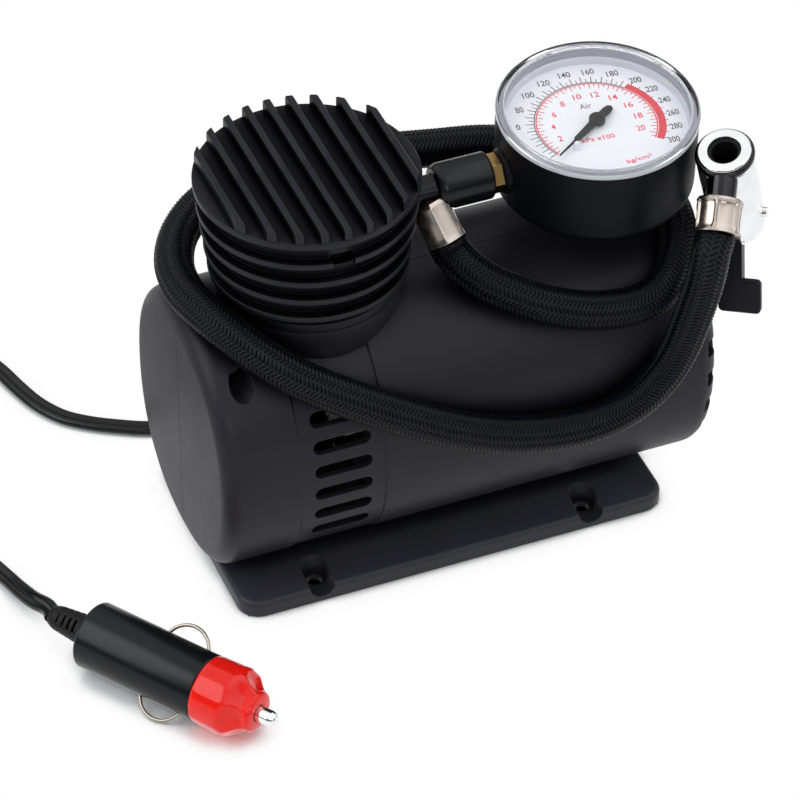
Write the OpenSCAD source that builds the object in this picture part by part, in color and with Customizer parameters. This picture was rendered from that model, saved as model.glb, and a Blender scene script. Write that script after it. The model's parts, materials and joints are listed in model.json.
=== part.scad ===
// Portable tire inflator: a barrel housing on a base plate, with a finned
// cylinder cover, a pressure gauge, a braided hose with a thumb-lock chuck and
// a 12 V lead with a lighter plug.
// Millimetres. +X runs along the barrel towards its fan end, -Y is the front,
// +Z is up. The origin is the middle of the mounting holes on the underside.

/* [Base plate] */
// Length of the base plate, along the barrel
base_l = 140; // [130:1:150]
// Width of the base plate
base_w = 78; // [74:1:90]
// Height of the upright lip
base_lip_h = 5.3; // [4.6:0.1:6.5]
// Height of the flat top that carries the barrel
base_h = 8.5; // [8:0.1:11]
// Width of the sloping border between lip and flat top
base_slope_w = 12; // [9:0.5:15]
// Corner radius of the base plate
base_corner_r = 7; // [4:0.5:10]
// Wall thickness of the base plate
base_wall = 2.6; // [2:0.1:3.4]
// Distance between the mounting holes along the barrel
mount_pitch_x = 89; // [80:1:100]
// Distance between the mounting holes across the barrel
mount_pitch_y = 62; // [58:1:64]
// Diameter of a mounting hole
mount_hole_d = 4.5; // [3.5:0.1:5]
// Width of the screwdriver notch above a mounting hole
mount_notch_w = 8; // [7:0.1:9]
// Thickness of the floor under a mounting screw's head
mount_seat_h = 1.9; // [1.5:0.1:2.6]

/* [Housing] */
// Length of the barrel
housing_l = 161; // [158:1:170]
// Width of the barrel
housing_w = 81; // [78:1:90]
// Height of the barrel's full section, before its flat underside
housing_h = 85; // [82:1:92]
// Squareness of the barrel's section, where 2 is an ellipse
housing_square = 2.3; // [2:0.1:2.6]
// Height of the barrel's axis above the floor
axis_z = 48.5; // [47:0.5:52]
// How far the barrel's middle lies from the base's middle, along the barrel
housing_shift = 5.2; // [3:0.1:7]
// Wall thickness of the housing
housing_wall = 2.4; // [2:0.1:2.8]
// Radius around the closed end of the barrel
end_round = 5.5; // [3:0.5:7]
// Radius around the fan end of the barrel
fan_end_round = 7; // [4:0.5:8]
// Length of an air slot in the front and rear walls
slot_l = 18.4; // [14:0.2:20]
// Height of an air slot
slot_h = 4.6; // [3.5:0.1:5.5]
// Distance between air slots
slot_pitch = 8.6; // [7.5:0.1:9]
// Number of air slots on each side
slot_count = 6; // [4:1:6]
// Number of fan slots around the fan end
fan_slot_count = 22; // [16:1:26]
// Width of a fan slot
fan_slot_w = 5.4; // [4:0.1:6]
// Width of the recessed band that holds the air slots
band_w = 27.6; // [25:0.2:30]
// Depth of the recessed band
band_depth = 0.5; // [0.3:0.1:0.8]
// Diameter of the counterbore over a housing screw
screw_bore_d = 7.2; // [6.6:0.1:8]

/* [Cylinder and cover] */
// Distance from the middle of the base to the cylinder's axis
cylinder_back = 33; // [31:0.5:35]
// Bore of the cylinder
bore_d = 24; // [22:0.5:25]
// Stroke of the piston
stroke = 13; // [10:0.5:14]
// Wall of the cylinder
cylinder_wall = 4; // [3:0.5:4.5]
// Outer diameter of the cover's flange
cover_d = 67.6; // [65:0.2:70]
// Outer diameter of the cover's lowest ring
cover_low_d = 60.4; // [60:0.2:62]
// Height of the cover's foot, on the collar
cover_z = 95.6; // [95:0.1:98]
// Distance between the cover's rings
ring_pitch = 7.3; // [6.4:0.1:7.6]
// Thickness of a cover ring
ring_t = 2.2; // [1.6:0.1:2.8]
// Depth of the groove between two rings
groove_depth = 3; // [2:0.1:3.2]
// Number of fins across the top of the cover
fin_count = 9; // [7:2:11]
// Thickness of a fin
fin_t = 2.2; // [1.6:0.1:2.6]
// Height of the fins above the cover's flange
fin_h = 3.7; // [3:0.1:5]
// Distance between fins
fin_pitch = 6.95; // [6:0.05:7.2]
// Wall thickness of the cover
cover_wall = 2.4; // [2:0.1:2.6]

/* [Drive] */
// Module of the gear pair
gear_module = 0.8; // [0.7:0.05:0.9]
// Teeth on the motor pinion
pinion_teeth = 12; // [10:1:14]
// Teeth on the crank gear
gear_teeth = 50; // [46:1:52]
// Height of the crank gear's axis
crank_z = 56; // [54:0.5:57]
// Outer diameter of the motor
motor_d = 37; // [34:0.5:38]
// Length of the motor can
motor_l = 57; // [50:1:60]
// Diameter of the motor shaft
shaft_d = 3.2; // [2.5:0.1:4]
// Diameter of the cooling fan
fan_d = 38; // [30:1:39]
// Number of fan blades
fan_blades = 9; // [6:1:11]

/* [Gauge] */
// Outer diameter of the gauge
gauge_d = 61; // [56:0.5:63]
// Height of the gauge case, without its lens
gauge_case_h = 26.4; // [25:0.1:28]
// Height of the lens above the case
gauge_lens_h = 2.3; // [2:0.1:3]
// Distance from the middle of the base to the gauge's axis
gauge_x = 59.5; // [58:0.5:63]
// Height of the air line through tee and gauge
line_z = 116; // [115:0.5:118]
// Angle by which the gauge leans towards the front
gauge_lean = 4; // [0:0.5:8]
// Sweep of the needle
needle_sweep = 240; // [200:5:260]

/* [Hose] */
// Outer diameter of the braided hose
hose_d = 11.8; // [10:0.2:12]
// Inner diameter of the hose
hose_bore_d = 5; // [4:0.5:6]
// Outer diameter of a hose ferrule
ferrule_d = 13.6; // [13:0.1:14.6]

/* [Chuck] */
// Outer diameter of the chuck's barrel
chuck_d = 17.6; // [16:0.2:18]
// Length of the chuck's barrel
chuck_l = 38.5; // [37:0.5:42]
// Diameter of the socket that takes a tire valve
valve_bore_d = 8.2; // [7.8:0.1:9]
// Depth of the valve socket
valve_bore_l = 12; // [10:0.5:14]
// Length of the lever beyond its pin
lever_l = 34; // [28:1:36]
// Width of the lever's thumb pad
lever_pad_w = 13.2; // [11:0.1:15]

/* [Power lead] */
// Width of the flat twin cord
cord_w = 5.6; // [5:0.1:6.4]
// Thickness of the cord
cord_t = 2.9; // [2.6:0.1:3.2]
// Mean diameter of the coil
coil_d = 62; // [56:1:68]
// Turns side by side in the coil
coil_columns = 3; // [2:1:4]
// Layers of turns in the coil
coil_layers = 4; // [3:1:5]

/* [Lighter plug] */
// Diameter of the plug
plug_d = 21; // [20:0.1:22]
// Length of the plug's black body
plug_body_l = 42; // [38:0.5:46]
// Length of the screwed nose cap
plug_nose_l = 18.5; // [16:0.5:20]
// Diameter of the centre contact
plug_tip_d = 5; // [4:0.1:6]
// How far the centre contact stands out
plug_tip_out = 6.5; // [5:0.1:7]
// How far a side spring stands out of the plug
side_spring_out = 5; // [3:0.1:6]

/* [Hidden] */
$fn = 64;

gap = 0.3;      // running clearance between pieces that move past each other
seat = 0.05;    // clearance of a piece seated in another
play = 0.04;    // radial clearance of a shaft in its bush
eps = 0.01;

// ---- base and housing
housing_x0 = housing_shift - housing_l / 2;
housing_x1 = housing_shift + housing_l / 2;
cylinder_x = -cylinder_back;
collar_d = cover_low_d - 4.4;
collar_foot_d = collar_d - 5;
collar_bore_d = collar_foot_d - 2 * housing_wall - 1;
band_x0 = cylinder_x - 18.5;
slot_x = band_x0 + band_w / 2;
slot_top_z = axis_z + slot_pitch * (slot_count - 1) / 2 + 0.3;
base_pocket_h = base_lip_h - base_wall;
housing_screw_x = [housing_x0 + 10.6, housing_x1 - 12];
housing_screw_z = axis_z + housing_h / 2 - 8.4;
housing_screw_head_y = 15;
boss_d = screw_bore_d + 3;
screw_d = 3;
base_screw_x = [-52, 52];
base_screw_y = 9;
base_screw_d = 3;
base_screw_head_d = 6;

// ---- drive train
gear_pitch_d = gear_module * gear_teeth;
pinion_pitch_d = gear_module * pinion_teeth;
motor_z = crank_z - (gear_pitch_d + pinion_pitch_d) / 2 - 0.1;
gear_w = 6;
rod_t = 5;
gear_x = cylinder_x + rod_t / 2 + 3.5;
frame_t = 2.5;
frame_x = gear_x + gear_w + 2.5;
frame_foot_z = base_h + 5;
motor_x = frame_x + frame_t;
motor_wall = 1.6;
motor_x1 = motor_x + motor_l;
end_cap_t = 4;
crank_shaft_d = 5;
gear_bush_d = 9;
fan_hub_x = motor_x1 + end_cap_t + 18;
fan_w = 9;
crank_r = stroke / 2;
crank_pin_z = crank_z - crank_r;
rod_l = 41;
piston_z = crank_pin_z + rod_l;
shelf_t = 2.5;
shelf_z = crank_z + gear_pitch_d / 2 + gear_module + 7.2;
flange_t = 4;
cylinder_z0 = shelf_z - 5;
cylinder_z1 = piston_z + stroke + 2.6;
cylinder_d = bore_d + 2 * cylinder_wall;
flange_d = cylinder_d + 11;
valve_plate_t = 1.6;
head_z = cylinder_z1 + valve_plate_t;
head_top_z = line_z + 7;
head_d = cylinder_d + 13;
head_screw_r = cylinder_d / 2 + 2.8;
head_screw_d = 3;

// ---- cover
ring_count = 4;
flange_ring_t = 2.2;
first_ring_z = cover_z + 5.5;
cover_top_z = line_z + 17.4;
fin_top_z = cover_top_z + fin_h;

// ---- air line and gauge
neck_d = 9;
sleeve_d = 14.6;
sleeve_x0 = cylinder_x + 40;
sleeve_l = 17.5;
stem_hex = 12.4;
stem_x = sleeve_x0 + sleeve_l;
line_bore_d = 4;
gauge_neck_x = stem_x + 3.2;
gauge_wall = 1.8;
case_bottom = -12.2;
case_top = case_bottom + gauge_case_h;
lens_t = 1.4;
dial_z = case_top - 5.7;
dial_t = 0.5;
dial_d = gauge_d - 2 * gauge_wall - 1;
needle_rest = 213;    // direction of the needle at zero, from +X towards +Y
arbor_d = 1.6;
sector_ratio = 6;
needle_pinion_r = 2.2;
sector_r = needle_pinion_r * sector_ratio;
tube_r = 20.5;

// ---- hose, from the tee's ferrule to the chuck's
ferrule_l = 11.5;
tee_branch_foot = [4.6, -2.8, line_z - 4];
tee_branch_end = [7.6, -9.2, line_z - 13.4];
chuck_stem_foot = [85.5, -38.5, 116.4];
chuck_stem_end = [79.2, -44.7, 109.8];
hose_points = [
    tee_branch_end, [8.6, -11.4, line_z - 16.6], [11.3, -16.6, line_z - 19.4], [16, -22, 93.6], [22, -26.5, 91.1],
    [30, -31, 88.1], [39, -34, 85.4], [48, -35.7, 83.7], [57, -36.2, 83], [65, -35.2, 84.3],
    [71.2, -31.9, 87.4], [75.4, -27, 91], [78.4, -20.2, 94.2], [79.6, -12, 96.3],
    [79, -2, 97.3], [76, 8, 97.2], [70, 17, 96.6], [61, 25, 96.4], [50, 31, 97.2],
    [37, 35, 98.8], [22, 37.2, 100], [6, 39.6, 101.2], [-10, 42, 102], [-26, 43.2, 102],
    [-41, 41.8, 101.4], [-54, 36.5, 100.4], [-64, 27.4, 99], [-69.6, 16, 98], [-70.8, 4, 97.6],
    [-68.8, -6, 97.2], [-64.6, -16, 95.4], [-57.6, -26, 91.2], [-48.6, -33.4, 85.6],
    [-36, -39.2, 78.9], [-22, -43.2, 71.2], [-8, -45.8, 63.8], [5, -47, 57.8], [18, -47.4, 53.6],
    [30, -47.4, 51.4], [40, -47.4, 51.2], [49, -47.2, 53], [57, -47, 57.2], [63.7, -46.8, 63.9],
    [68, -47, 72.2], [70.6, -47.5, 80.6], [72.5, -48, 88.3], [73.9, -48.5, 94.9],
    [75.1, -48.5, 101.2], [76.6, -47.2, 106.3], chuck_stem_end
];

// ---- chuck
chuck_top = [88.3, -28.6, 127.3];
chuck_tilt = [9.6, -14.5, 0];
chuck_spin = -38;
chuck_pin_z = -29.5;
chuck_pin_d = 3;
lever_t = 5;
lever_hub_d = 8;
lever_fold = 28;      // how far the lever stands out from the chuck's axis

// ---- power lead
gland_x = 10;
gland_z = 21;
gland_len = 24;
gland_d = 9.5;
gland_wall_y = 30.5;
cord_z = cord_t / 2;
coil_centre = [-158, 88];
coil_turn_r = coil_d / 2;
coil_band = coil_columns * (cord_w + 0.2);
coil_h = coil_layers * (cord_t + 0.1);
plug_pos = [-117.6, -37.1, plug_d / 2];
plug_turn = -55.6;
boot_l = 15;
lead_points = [
    [gland_x, gland_wall_y + gland_len, gland_z], [9, 60, 20], [6, 66, 16], [0, 69.5, 10.6],
    [-8, 70, 5.6], [-17, 67.5, 2.6], [-27, 63, cord_z], [-38, 57.5, cord_z], [-49, 53.4, cord_z],
    [-59, 52.4, cord_z], [-68, 54.8, cord_z], [-76, 58.9, cord_z], [-84, 63.9, cord_z],
    [-91, 70.1, cord_z], [-96.2, 78.8, cord_z], [-99.6, 89, cord_z], [-102.4, 99.4, cord_z],
    [-106.6, 109, cord_z], [-114, 117, cord_z], [-124, 121.6, cord_z], [-136, 123.6, cord_z],
    [-148, 124.4, cord_z]
];
tail_points = [
    [-186, 61, 9.4], [-177, 53, 7], [-168, 45.4, 4.4], [-158, 38, 2.4], [-148.6, 31.6, cord_z],
    [-140.6, 24.4, cord_z], [-134.8, 16, cord_z], [-131.4, 6, cord_z + 0.4],
    [-129.8, -3, cord_z + 2.4], [-128, -11.5, 6], [-125.9, -19.4, 9],
    [plug_pos[0] - boot_l * cos(plug_turn), plug_pos[1] - boot_l * sin(plug_turn), plug_pos[2]]
];

// ---- colours
black = [0.07, 0.07, 0.075];
shell_black = [0.17, 0.17, 0.18];
chrome = [0.82, 0.83, 0.85];
steel = [0.62, 0.63, 0.65];
brass = [0.78, 0.62, 0.28];
copper = [0.72, 0.42, 0.22];
white = [0.93, 0.93, 0.92];
red = [0.85, 0.09, 0.08];

// ======================================================== shared shapes

// Outline of the barrel's cross-section, drawn with Y to the right and Z up.
function barrel_outline(inset, steps = 64) = [
    for (i = [0 : steps - 1])
        let (a = 360 * i / steps, c = cos(a), s = sin(a), k = 2 / housing_square)
        [(housing_w / 2 - inset) * sign(c) * pow(abs(c), k),
         (housing_h / 2 - inset) * sign(s) * pow(abs(s), k)]
];

module along_x() { rotate([90, 0, 90]) children(); }

// Barrel from x0 to x1 with rounded rims, built ring by ring.
module barrel(x0, x1, inset, round0, round1, steps = 3) {
    rings = concat(
        [for (i = [steps : -1 : 0]) let (a = 90 * i / steps)
            [x0 + round0 * (1 - sin(a)), inset + round0 * (1 - cos(a))]],
        [for (i = [0 : steps]) let (a = 90 * i / steps)
            [x1 - round1 * (1 - sin(a)), inset + round1 * (1 - cos(a))]]
    );
    n = len(rings);
    m = len(barrel_outline(0));
    polyhedron(
        points = [for (r = rings) each [for (p = barrel_outline(r[1])) [r[0], p[0], axis_z + p[1]]]],
        faces = concat(
            [[for (k = [0 : m - 1]) k]],
            [for (i = [0 : n - 2], k = [0 : m - 1], t = [0, 1])
                let (a = i * m + k, b = i * m + (k + 1) % m)
                t == 0 ? [a, a + m, b + m] : [a, b + m, b]],
            [[for (k = [m - 1 : -1 : 0]) (n - 1) * m + k]]
        ),
        convexity = 4
    );
}

module tube(d, bore, l) {
    difference() {
        cylinder(d = d, h = l);
        translate([0, 0, -1]) cylinder(d = bore, h = l + 2);
    }
}

module rounded_box(size, r) {
    linear_extrude(size[2]) hull() {
        for (x = [-1, 1], y = [-1, 1])
            translate([x * (size[0] / 2 - r), y * (size[1] / 2 - r)]) circle(r = r, $fn = 32);
    }
}

module mount_points() {
    for (x = [-1, 1], y = [-1, 1])
        translate([x * mount_pitch_x / 2, y * mount_pitch_y / 2, 0]) rotate([0, 0, y > 0 ? 180 : 0]) children();
}

module base_screw_points() {
    for (x = base_screw_x, y = [-1, 1]) translate([x, y * base_screw_y, 0]) children();
}

// Outline of a spur gear with straight-sided teeth.
function gear_outline(teeth, m, trim) = [
    for (i = [0 : teeth - 1], p = [[-0.31, -1.2], [-0.15, 0.92], [0.15, 0.92], [0.31, -1.2]])
        let (a = 360 * (i + p[0]) / teeth, r = m * teeth / 2 + m * p[1] - trim)
        [r * cos(a), r * sin(a)]
];

module gauge_frame() { translate([gauge_x, 0, line_z]) rotate([gauge_lean, 0, 0]) children(); }
function chuck_point(z) = chuck_top
    + z * [cos(chuck_tilt[0]) * sin(chuck_tilt[1]), -sin(chuck_tilt[0]), cos(chuck_tilt[0]) * cos(chuck_tilt[1])];
module chuck_frame() { translate(chuck_top) rotate(chuck_tilt) rotate([0, 0, chuck_spin]) children(); }
module plug_frame() { translate(plug_pos) rotate([0, 0, plug_turn]) rotate([0, 90, 0]) children(); }

// Places a shape so that its +Z runs from one point to another.
module aim(from, to) {
    v = to - from;
    translate(from)
        rotate([0, acos(v[2] / norm(v)), atan2(v[1], v[0])])
            children();
}

// ---- tube swept along a route
function unit(v) = v / norm(v);
function spline(a, b, c, d, t) =
    0.5 * (2 * b + (c - a) * t + (2 * a - 5 * b + 4 * c - d) * t * t + (3 * b - a - 3 * c + d) * t * t * t);
function route(p, parts) = [
    for (i = [0 : len(p) - 2], j = [0 : parts - 1])
        spline(p[max(i - 1, 0)], p[i], p[i + 1], p[min(i + 2, len(p) - 1)], j / parts),
    p[len(p) - 1]
];
function tangent(r, i) = unit(r[min(i + 1, len(r) - 1)] - r[max(i - 1, 0)]);
// A ring is an oval that stays level: its width lies across the route.
function ring(r, i, w, t, sides) =
    let (d = tangent(r, i), side = unit(cross(d, [0, 0, 1])), up = cross(side, d))
    [for (k = [0 : sides - 1])
        let (a = 360 * (k + 0.5) / sides, f = 1 / cos(180 / sides))
        r[i] + side * (w / 2 * f * cos(a)) + up * (t / 2 * f * sin(a))];
// A coil spring along +Z, its wire as one swept tube.
module helix(r, wire, l, turns) {
    steps = ceil(turns * 12);
    sweep([for (i = [0 : steps])
        let (a = 360 * turns * i / steps) [r * cos(a), r * sin(a), wire / 2 + (l - wire) * i / steps]],
        wire, wire, 6, 1);
}
module sweep(points, w, t, sides, parts) {
    r = route(points, parts);
    n = len(r);
    polyhedron(
        points = [for (i = [0 : n - 1]) each ring(r, i, w, t, sides)],
        faces = concat(
            [[for (k = [0 : sides - 1]) k]],
            [for (i = [0 : n - 2], k = [0 : sides - 1], t = [0, 1])
                let (a = i * sides + k, b = i * sides + (k + 1) % sides)
                t == 0 ? [a, a + sides, b + sides] : [a, b + sides, b]],
            [[for (k = [sides - 1 : -1 : 0]) (n - 1) * sides + k]]
        ),
        convexity = 8
    );
}

// ======================================================== base plate

module base_plate() {
    color(shell_black)
    difference() {
        hull() {
            rounded_box([base_l - 0.6, base_w - 0.6, 0.6], base_corner_r);
            translate([0, 0, 0.6]) rounded_box([base_l, base_w, base_lip_h - 1.4], base_corner_r);
            translate([0, 0, base_lip_h - 0.8])
                rounded_box([base_l - 1.6, base_w - 1.6, 0.8], base_corner_r - 0.8);
            rounded_box([base_l - 2 * base_slope_w, base_w - 2 * base_slope_w, base_h], 2);
        }
        difference() {
            translate([0, 0, -1])
                rounded_box([base_l - 2 * base_wall, base_w - 2 * base_wall, base_pocket_h + 1],
                            base_corner_r - base_wall);
            mount_points() translate([0, 0, -2]) cylinder(d = mount_notch_w + 3, h = base_h);
            mount_points() translate([-mount_notch_w / 2 - 1.5, -9, -2]) cube([mount_notch_w + 3, 9, base_h]);
            base_screw_points() translate([0, 0, -2]) cylinder(d = base_screw_head_d + 4, h = base_h);
            for (x = [-1, 0, 1])
                translate([x * base_l / 6 - 0.9, -base_w / 2, -2]) cube([1.8, base_w, base_h]);
            translate([-base_l / 2, -0.9, -2]) cube([base_l, 1.8, base_h]);
        }
        mount_points() {
            translate([0, 0, -1]) cylinder(d = mount_hole_d, h = base_h + 2);
            translate([0, 0, mount_seat_h]) cylinder(d = mount_notch_w, h = base_h);
            translate([-mount_notch_w / 2, -20, mount_seat_h + mount_notch_w / 2])
                cube([mount_notch_w, 20, base_h]);
            translate([0, 0, mount_seat_h + mount_notch_w / 2]) rotate([90, 0, 0])
                cylinder(d = mount_notch_w, h = 20);
        }
        base_screw_points() {
            translate([0, 0, -1]) cylinder(d = base_screw_d + 0.4, h = base_h + 2);
            translate([0, 0, -1]) cylinder(d = base_screw_head_d + 0.6, h = base_h - 3.5 + 1);
        }
    }
}

module base_screws() {
    color(steel)
    base_screw_points() {
        translate([0, 0, base_h - 3.5 - 1.8]) screw(base_screw_head_d, 1.8, base_screw_d, 12.3);
    }
}

// A screw whose head starts at the origin and whose shank runs up +Z.
module screw(head_d, head_h, d, l) {
    difference() {
        union() {
            cylinder(d = head_d, h = head_h);
            cylinder(d = d, h = l);
        }
        for (a = [0, 90]) rotate([0, 0, a]) translate([-head_d * 0.3, -0.35, -1]) cube([head_d * 0.6, 0.7, 1.9]);
    }
}

// ======================================================== housing

module slot_row(depth) {
    for (k = [0 : slot_count - 1])
        translate([slot_x, 0, slot_top_z - k * slot_pitch]) rotate([90, 0, 0])
            linear_extrude(depth) {
                square([slot_l - slot_h, slot_h], center = true);
                for (x = [-1, 1]) translate([x * (slot_l - slot_h) / 2, 0]) circle(d = slot_h, $fn = 32);
            }
}

// Cuts around the rim of the fan end: each reaches a little way along the
// wall and across the rounded rim.
module fan_slots() {
    for (i = [0 : fan_slot_count - 1]) {
        a = 360 * (i + 0.5) / fan_slot_count;
        translate([housing_x1 - 4.2, 0, axis_z]) rotate([a, 0, 0])
            translate([0, -fan_slot_w / 2, housing_w / 2 - housing_wall - 3.4]) cube([20, fan_slot_w, 20]);
    }
}

module screw_boss(x, y0, y1) {
    translate([x, y0, housing_screw_z]) rotate([-90, 0, 0]) cylinder(d = boss_d, h = y1 - y0);
}

// Upright ribs that hold the motor can at two places.
module motor_cradle() {
    for (x = [motor_x + 8, motor_x1 - 10])
        translate([x, 0, 0]) difference() {
            translate([0, -motor_d / 2 - 4, base_h + 1]) cube([3, motor_d + 8, motor_z - base_h - 1]);
            translate([-1, 0, motor_z]) along_x() cylinder(d = motor_d + 2 * seat, h = 5);
        }
}

// Pads in which the foot of the gear frame stands.
module frame_slots() {
    for (y = [-1, 1])
        translate([frame_x - 2.5, y * 12.5 - 2, base_h + 1]) difference() {
            cube([frame_t + 5, 4, 6]);
            translate([2.5 - seat, -1, 4 - seat]) cube([frame_t + 2 * seat, 6, 8]);
        }
}

// The full housing: both half shells in one, before they are parted.
module housing() {
    difference() {
        union() {
            difference() {
                union() {
                    barrel(housing_x0, housing_x1, 0, end_round, fan_end_round);
                    translate([cylinder_x, 0, axis_z]) cylinder(d = collar_foot_d, h = cover_z - axis_z - 12);
                    translate([cylinder_x, 0, cover_z - 12 - eps])
                        cylinder(d1 = collar_foot_d, d2 = collar_d, h = 9);
                    translate([cylinder_x, 0, cover_z - 3 - 2 * eps]) cylinder(d = collar_d, h = 3 + 2 * eps);
                }
                barrel(housing_x0 + housing_wall, housing_x1 - housing_wall, housing_wall,
                       end_round - housing_wall, fan_end_round - housing_wall, 2);
                translate([cylinder_x, 0, axis_z]) cylinder(d = collar_bore_d, h = 60);
            }
            intersection() {
                barrel(housing_x0 + 1, housing_x1 - 1, 1, 4, 5, 1);
                union() {
                    translate([housing_x0 + 1, -housing_w / 2, 0])
                        cube([housing_l - 2, housing_w, base_h + housing_wall]);
                    motor_cradle();
                    frame_slots();
                    base_screw_points() cylinder(d = 8, h = base_h + 9);
                    for (x = housing_screw_x) {
                        screw_boss(x, -housing_w / 2, -seat);
                        screw_boss(x, seat, housing_w / 2 - 16);
                    }
                }
            }
        }
        translate([-200, -100, -20]) cube([400, 200, 20 + base_h]);
        for (m = [0, 1]) mirror([0, m, 0]) {
            translate([0, -12, 0]) slot_row(60);
            difference() {
                translate([band_x0, -housing_w, base_h + 1])
                    cube([band_w, housing_w - 4, cover_z - base_h - 14]);
                barrel(housing_x0, housing_x1, band_depth, end_round, fan_end_round);
                translate([cylinder_x, 0, 0]) cylinder(d = collar_foot_d, h = 200);
            }
        }
        fan_slots();
        base_screw_points() translate([0, 0, base_h - 1]) cylinder(d = base_screw_d + 2 * seat, h = 8.6);
        for (x = housing_screw_x)
            translate([x, 0, housing_screw_z]) rotate([-90, 0, 0]) {
                translate([0, 0, -housing_w]) cylinder(d = screw_bore_d, h = housing_w - housing_screw_head_y);
                translate([0, 0, -housing_w]) cylinder(d = screw_d + 0.5, h = housing_w);
                cylinder(d = screw_d + 2 * seat, h = 10);
            }
        translate([gland_x, 0, gland_z]) rotate([-90, 0, 0]) {
            cylinder(d = gland_d - 3 + 2 * seat, h = 60);
            translate([0, 0, gland_wall_y]) cylinder(d = gland_d + 2, h = 60);
            cylinder(d = gland_d + 2, h = gland_wall_y - housing_wall - 0.6);
        }
    }
}

module housing_front() {
    color(shell_black)
    intersection() {
        housing();
        translate([-150, -100, 0]) cube([300, 100, 200]);
    }
}

module housing_rear() {
    color(shell_black)
    intersection() {
        housing();
        translate([-150, 0, 0]) cube([300, 100, 200]);
    }
}

module housing_screws() {
    color(steel)
    for (x = housing_screw_x)
        translate([x, -housing_screw_head_y - 2.2, housing_screw_z]) rotate([-90, 0, 0])
            screw(screw_bore_d - 1.4, 2.2, screw_d, housing_screw_head_y + 2.2 + 9.5);
}

// ======================================================== cylinder and cover

function ring_r(k) = (cover_low_d + (cover_d - cover_low_d) * k / ring_count) / 2;

module cover_profile() {
    inner = cover_low_d / 2 - groove_depth - cover_wall;
    ceiling = cover_top_z - cover_wall - 1;
    foot_r = collar_d / 2;
    polygon(concat(
        [[0, cover_top_z], [0, ceiling], [inner, ceiling], [inner, cover_z], [foot_r, cover_z],
         [foot_r, first_ring_z - 2.4], [ring_r(0) - groove_depth, first_ring_z - 2]],
        [for (k = [0 : ring_count - 1])
            let (z = first_ring_z + k * ring_pitch)
            each [[ring_r(k) - groove_depth, z], [ring_r(k), z + 0.2], [ring_r(k), z + ring_t - 0.4],
                  [ring_r(k) - 0.4, z + ring_t], [ring_r(k) - groove_depth, z + ring_t]]],
        [[ring_r(ring_count) - groove_depth, cover_top_z - flange_ring_t - 0.4],
         [ring_r(ring_count), cover_top_z - flange_ring_t], [ring_r(ring_count), cover_top_z - 0.4],
         [ring_r(ring_count) - 0.4, cover_top_z]]
    ));
}

module fin(i) {
    x = (i - (fin_count - 1) / 2) * fin_pitch;
    reach = sqrt(pow(cover_d / 2, 2) - x * x);
    translate([cylinder_x + x - fin_t / 2, 0, cover_top_z]) rotate([90, 0, 90])
        linear_extrude(fin_t) polygon([
            [-reach + 0.3, -flange_ring_t], [-reach + 0.3, fin_h - 1], [-reach + 1.3, fin_h],
            [reach - 0.6, fin_h], [reach - 0.3, fin_h - 0.4], [reach - 0.3, -flange_ring_t]]);
}

module cylinder_cover() {
    color(black)
    difference() {
        union() {
            translate([cylinder_x, 0, 0]) rotate_extrude($fn = 96) cover_profile();
            for (i = [0 : fin_count - 1]) fin(i);
        }
        // opening for the tee's neck
        translate([cylinder_x, 0, line_z]) along_x() cylinder(d = neck_d + 2 * gap, h = cover_d);
        // clip window in the upper ring
        translate([cylinder_x, 0, first_ring_z + (ring_count - 1) * ring_pitch - 0.4]) rotate([0, 0, -64])
            translate([ring_r(ring_count - 1) - groove_depth + 0.4, -3.6, 0]) cube([10, 7.2, ring_t + 0.8]);
    }
}

module head_screw_points() {
    for (a = [45 : 90 : 315])
        translate([cylinder_x, 0, 0]) rotate([0, 0, a]) translate([head_screw_r, 0, 0]) children();
}

module cylinder_barrel() {
    color(steel)
    translate([cylinder_x, 0, 0]) difference() {
        union() {
            translate([0, 0, cylinder_z0]) cylinder(d = cylinder_d, h = cylinder_z1 - cylinder_z0);
            translate([0, 0, shelf_z + shelf_t]) cylinder(d = flange_d, h = flange_t);
            translate([0, 0, cylinder_z1 - 3]) cylinder(d = head_d, h = 3);
        }
        translate([0, 0, cylinder_z0 - 1]) cylinder(d = bore_d, h = cylinder_z1 - cylinder_z0 + 2);
        translate([-cylinder_x, 0, 0]) head_screw_points() cylinder(d = head_screw_d + 0.4, h = 200);
    }
}

module valve_plate() {
    color(steel)
    difference() {
        translate([cylinder_x, 0, cylinder_z1]) cylinder(d = head_d, h = valve_plate_t);
        translate([cylinder_x - 5, 0, cylinder_z1 - 1]) cylinder(d = 2.4, h = valve_plate_t + 2);
        translate([cylinder_x + 5, 0, cylinder_z1 - 1]) cylinder(d = 2.4, h = valve_plate_t + 2);
        head_screw_points() cylinder(d = head_screw_d + 0.4, h = 200);
    }
}

module cylinder_head() {
    chamber_d = 8;
    color(steel)
    difference() {
        union() {
            translate([cylinder_x, 0, head_z]) cylinder(d = head_d, h = head_top_z - head_z);
            for (i = [-2 : 2])
                translate([cylinder_x + i * 5 - 0.8, -head_d / 2 + 5, head_top_z - eps])
                    cube([1.6, head_d - 10, 2.2]);
        }
        translate([cylinder_x, 0, head_z - 1]) cylinder(d = bore_d - 6, h = 3);
        // valve chamber, and the socket that takes the tee's spigot
        translate([cylinder_x - 2, 0, head_z - 1]) cylinder(d = 3, h = line_z - head_z + 1);
        translate([cylinder_x - 4.4, 0, line_z]) along_x() cylinder(d = 3.4, h = 9);
        translate([cylinder_x + 3, 0, line_z]) along_x() cylinder(d = chamber_d, h = head_d / 2);
        head_screw_points() {
            cylinder(d = head_screw_d + 0.4, h = 200);
            translate([0, 0, head_top_z - 3]) cylinder(d = 6.4, h = 40);
        }
    }
}

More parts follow.
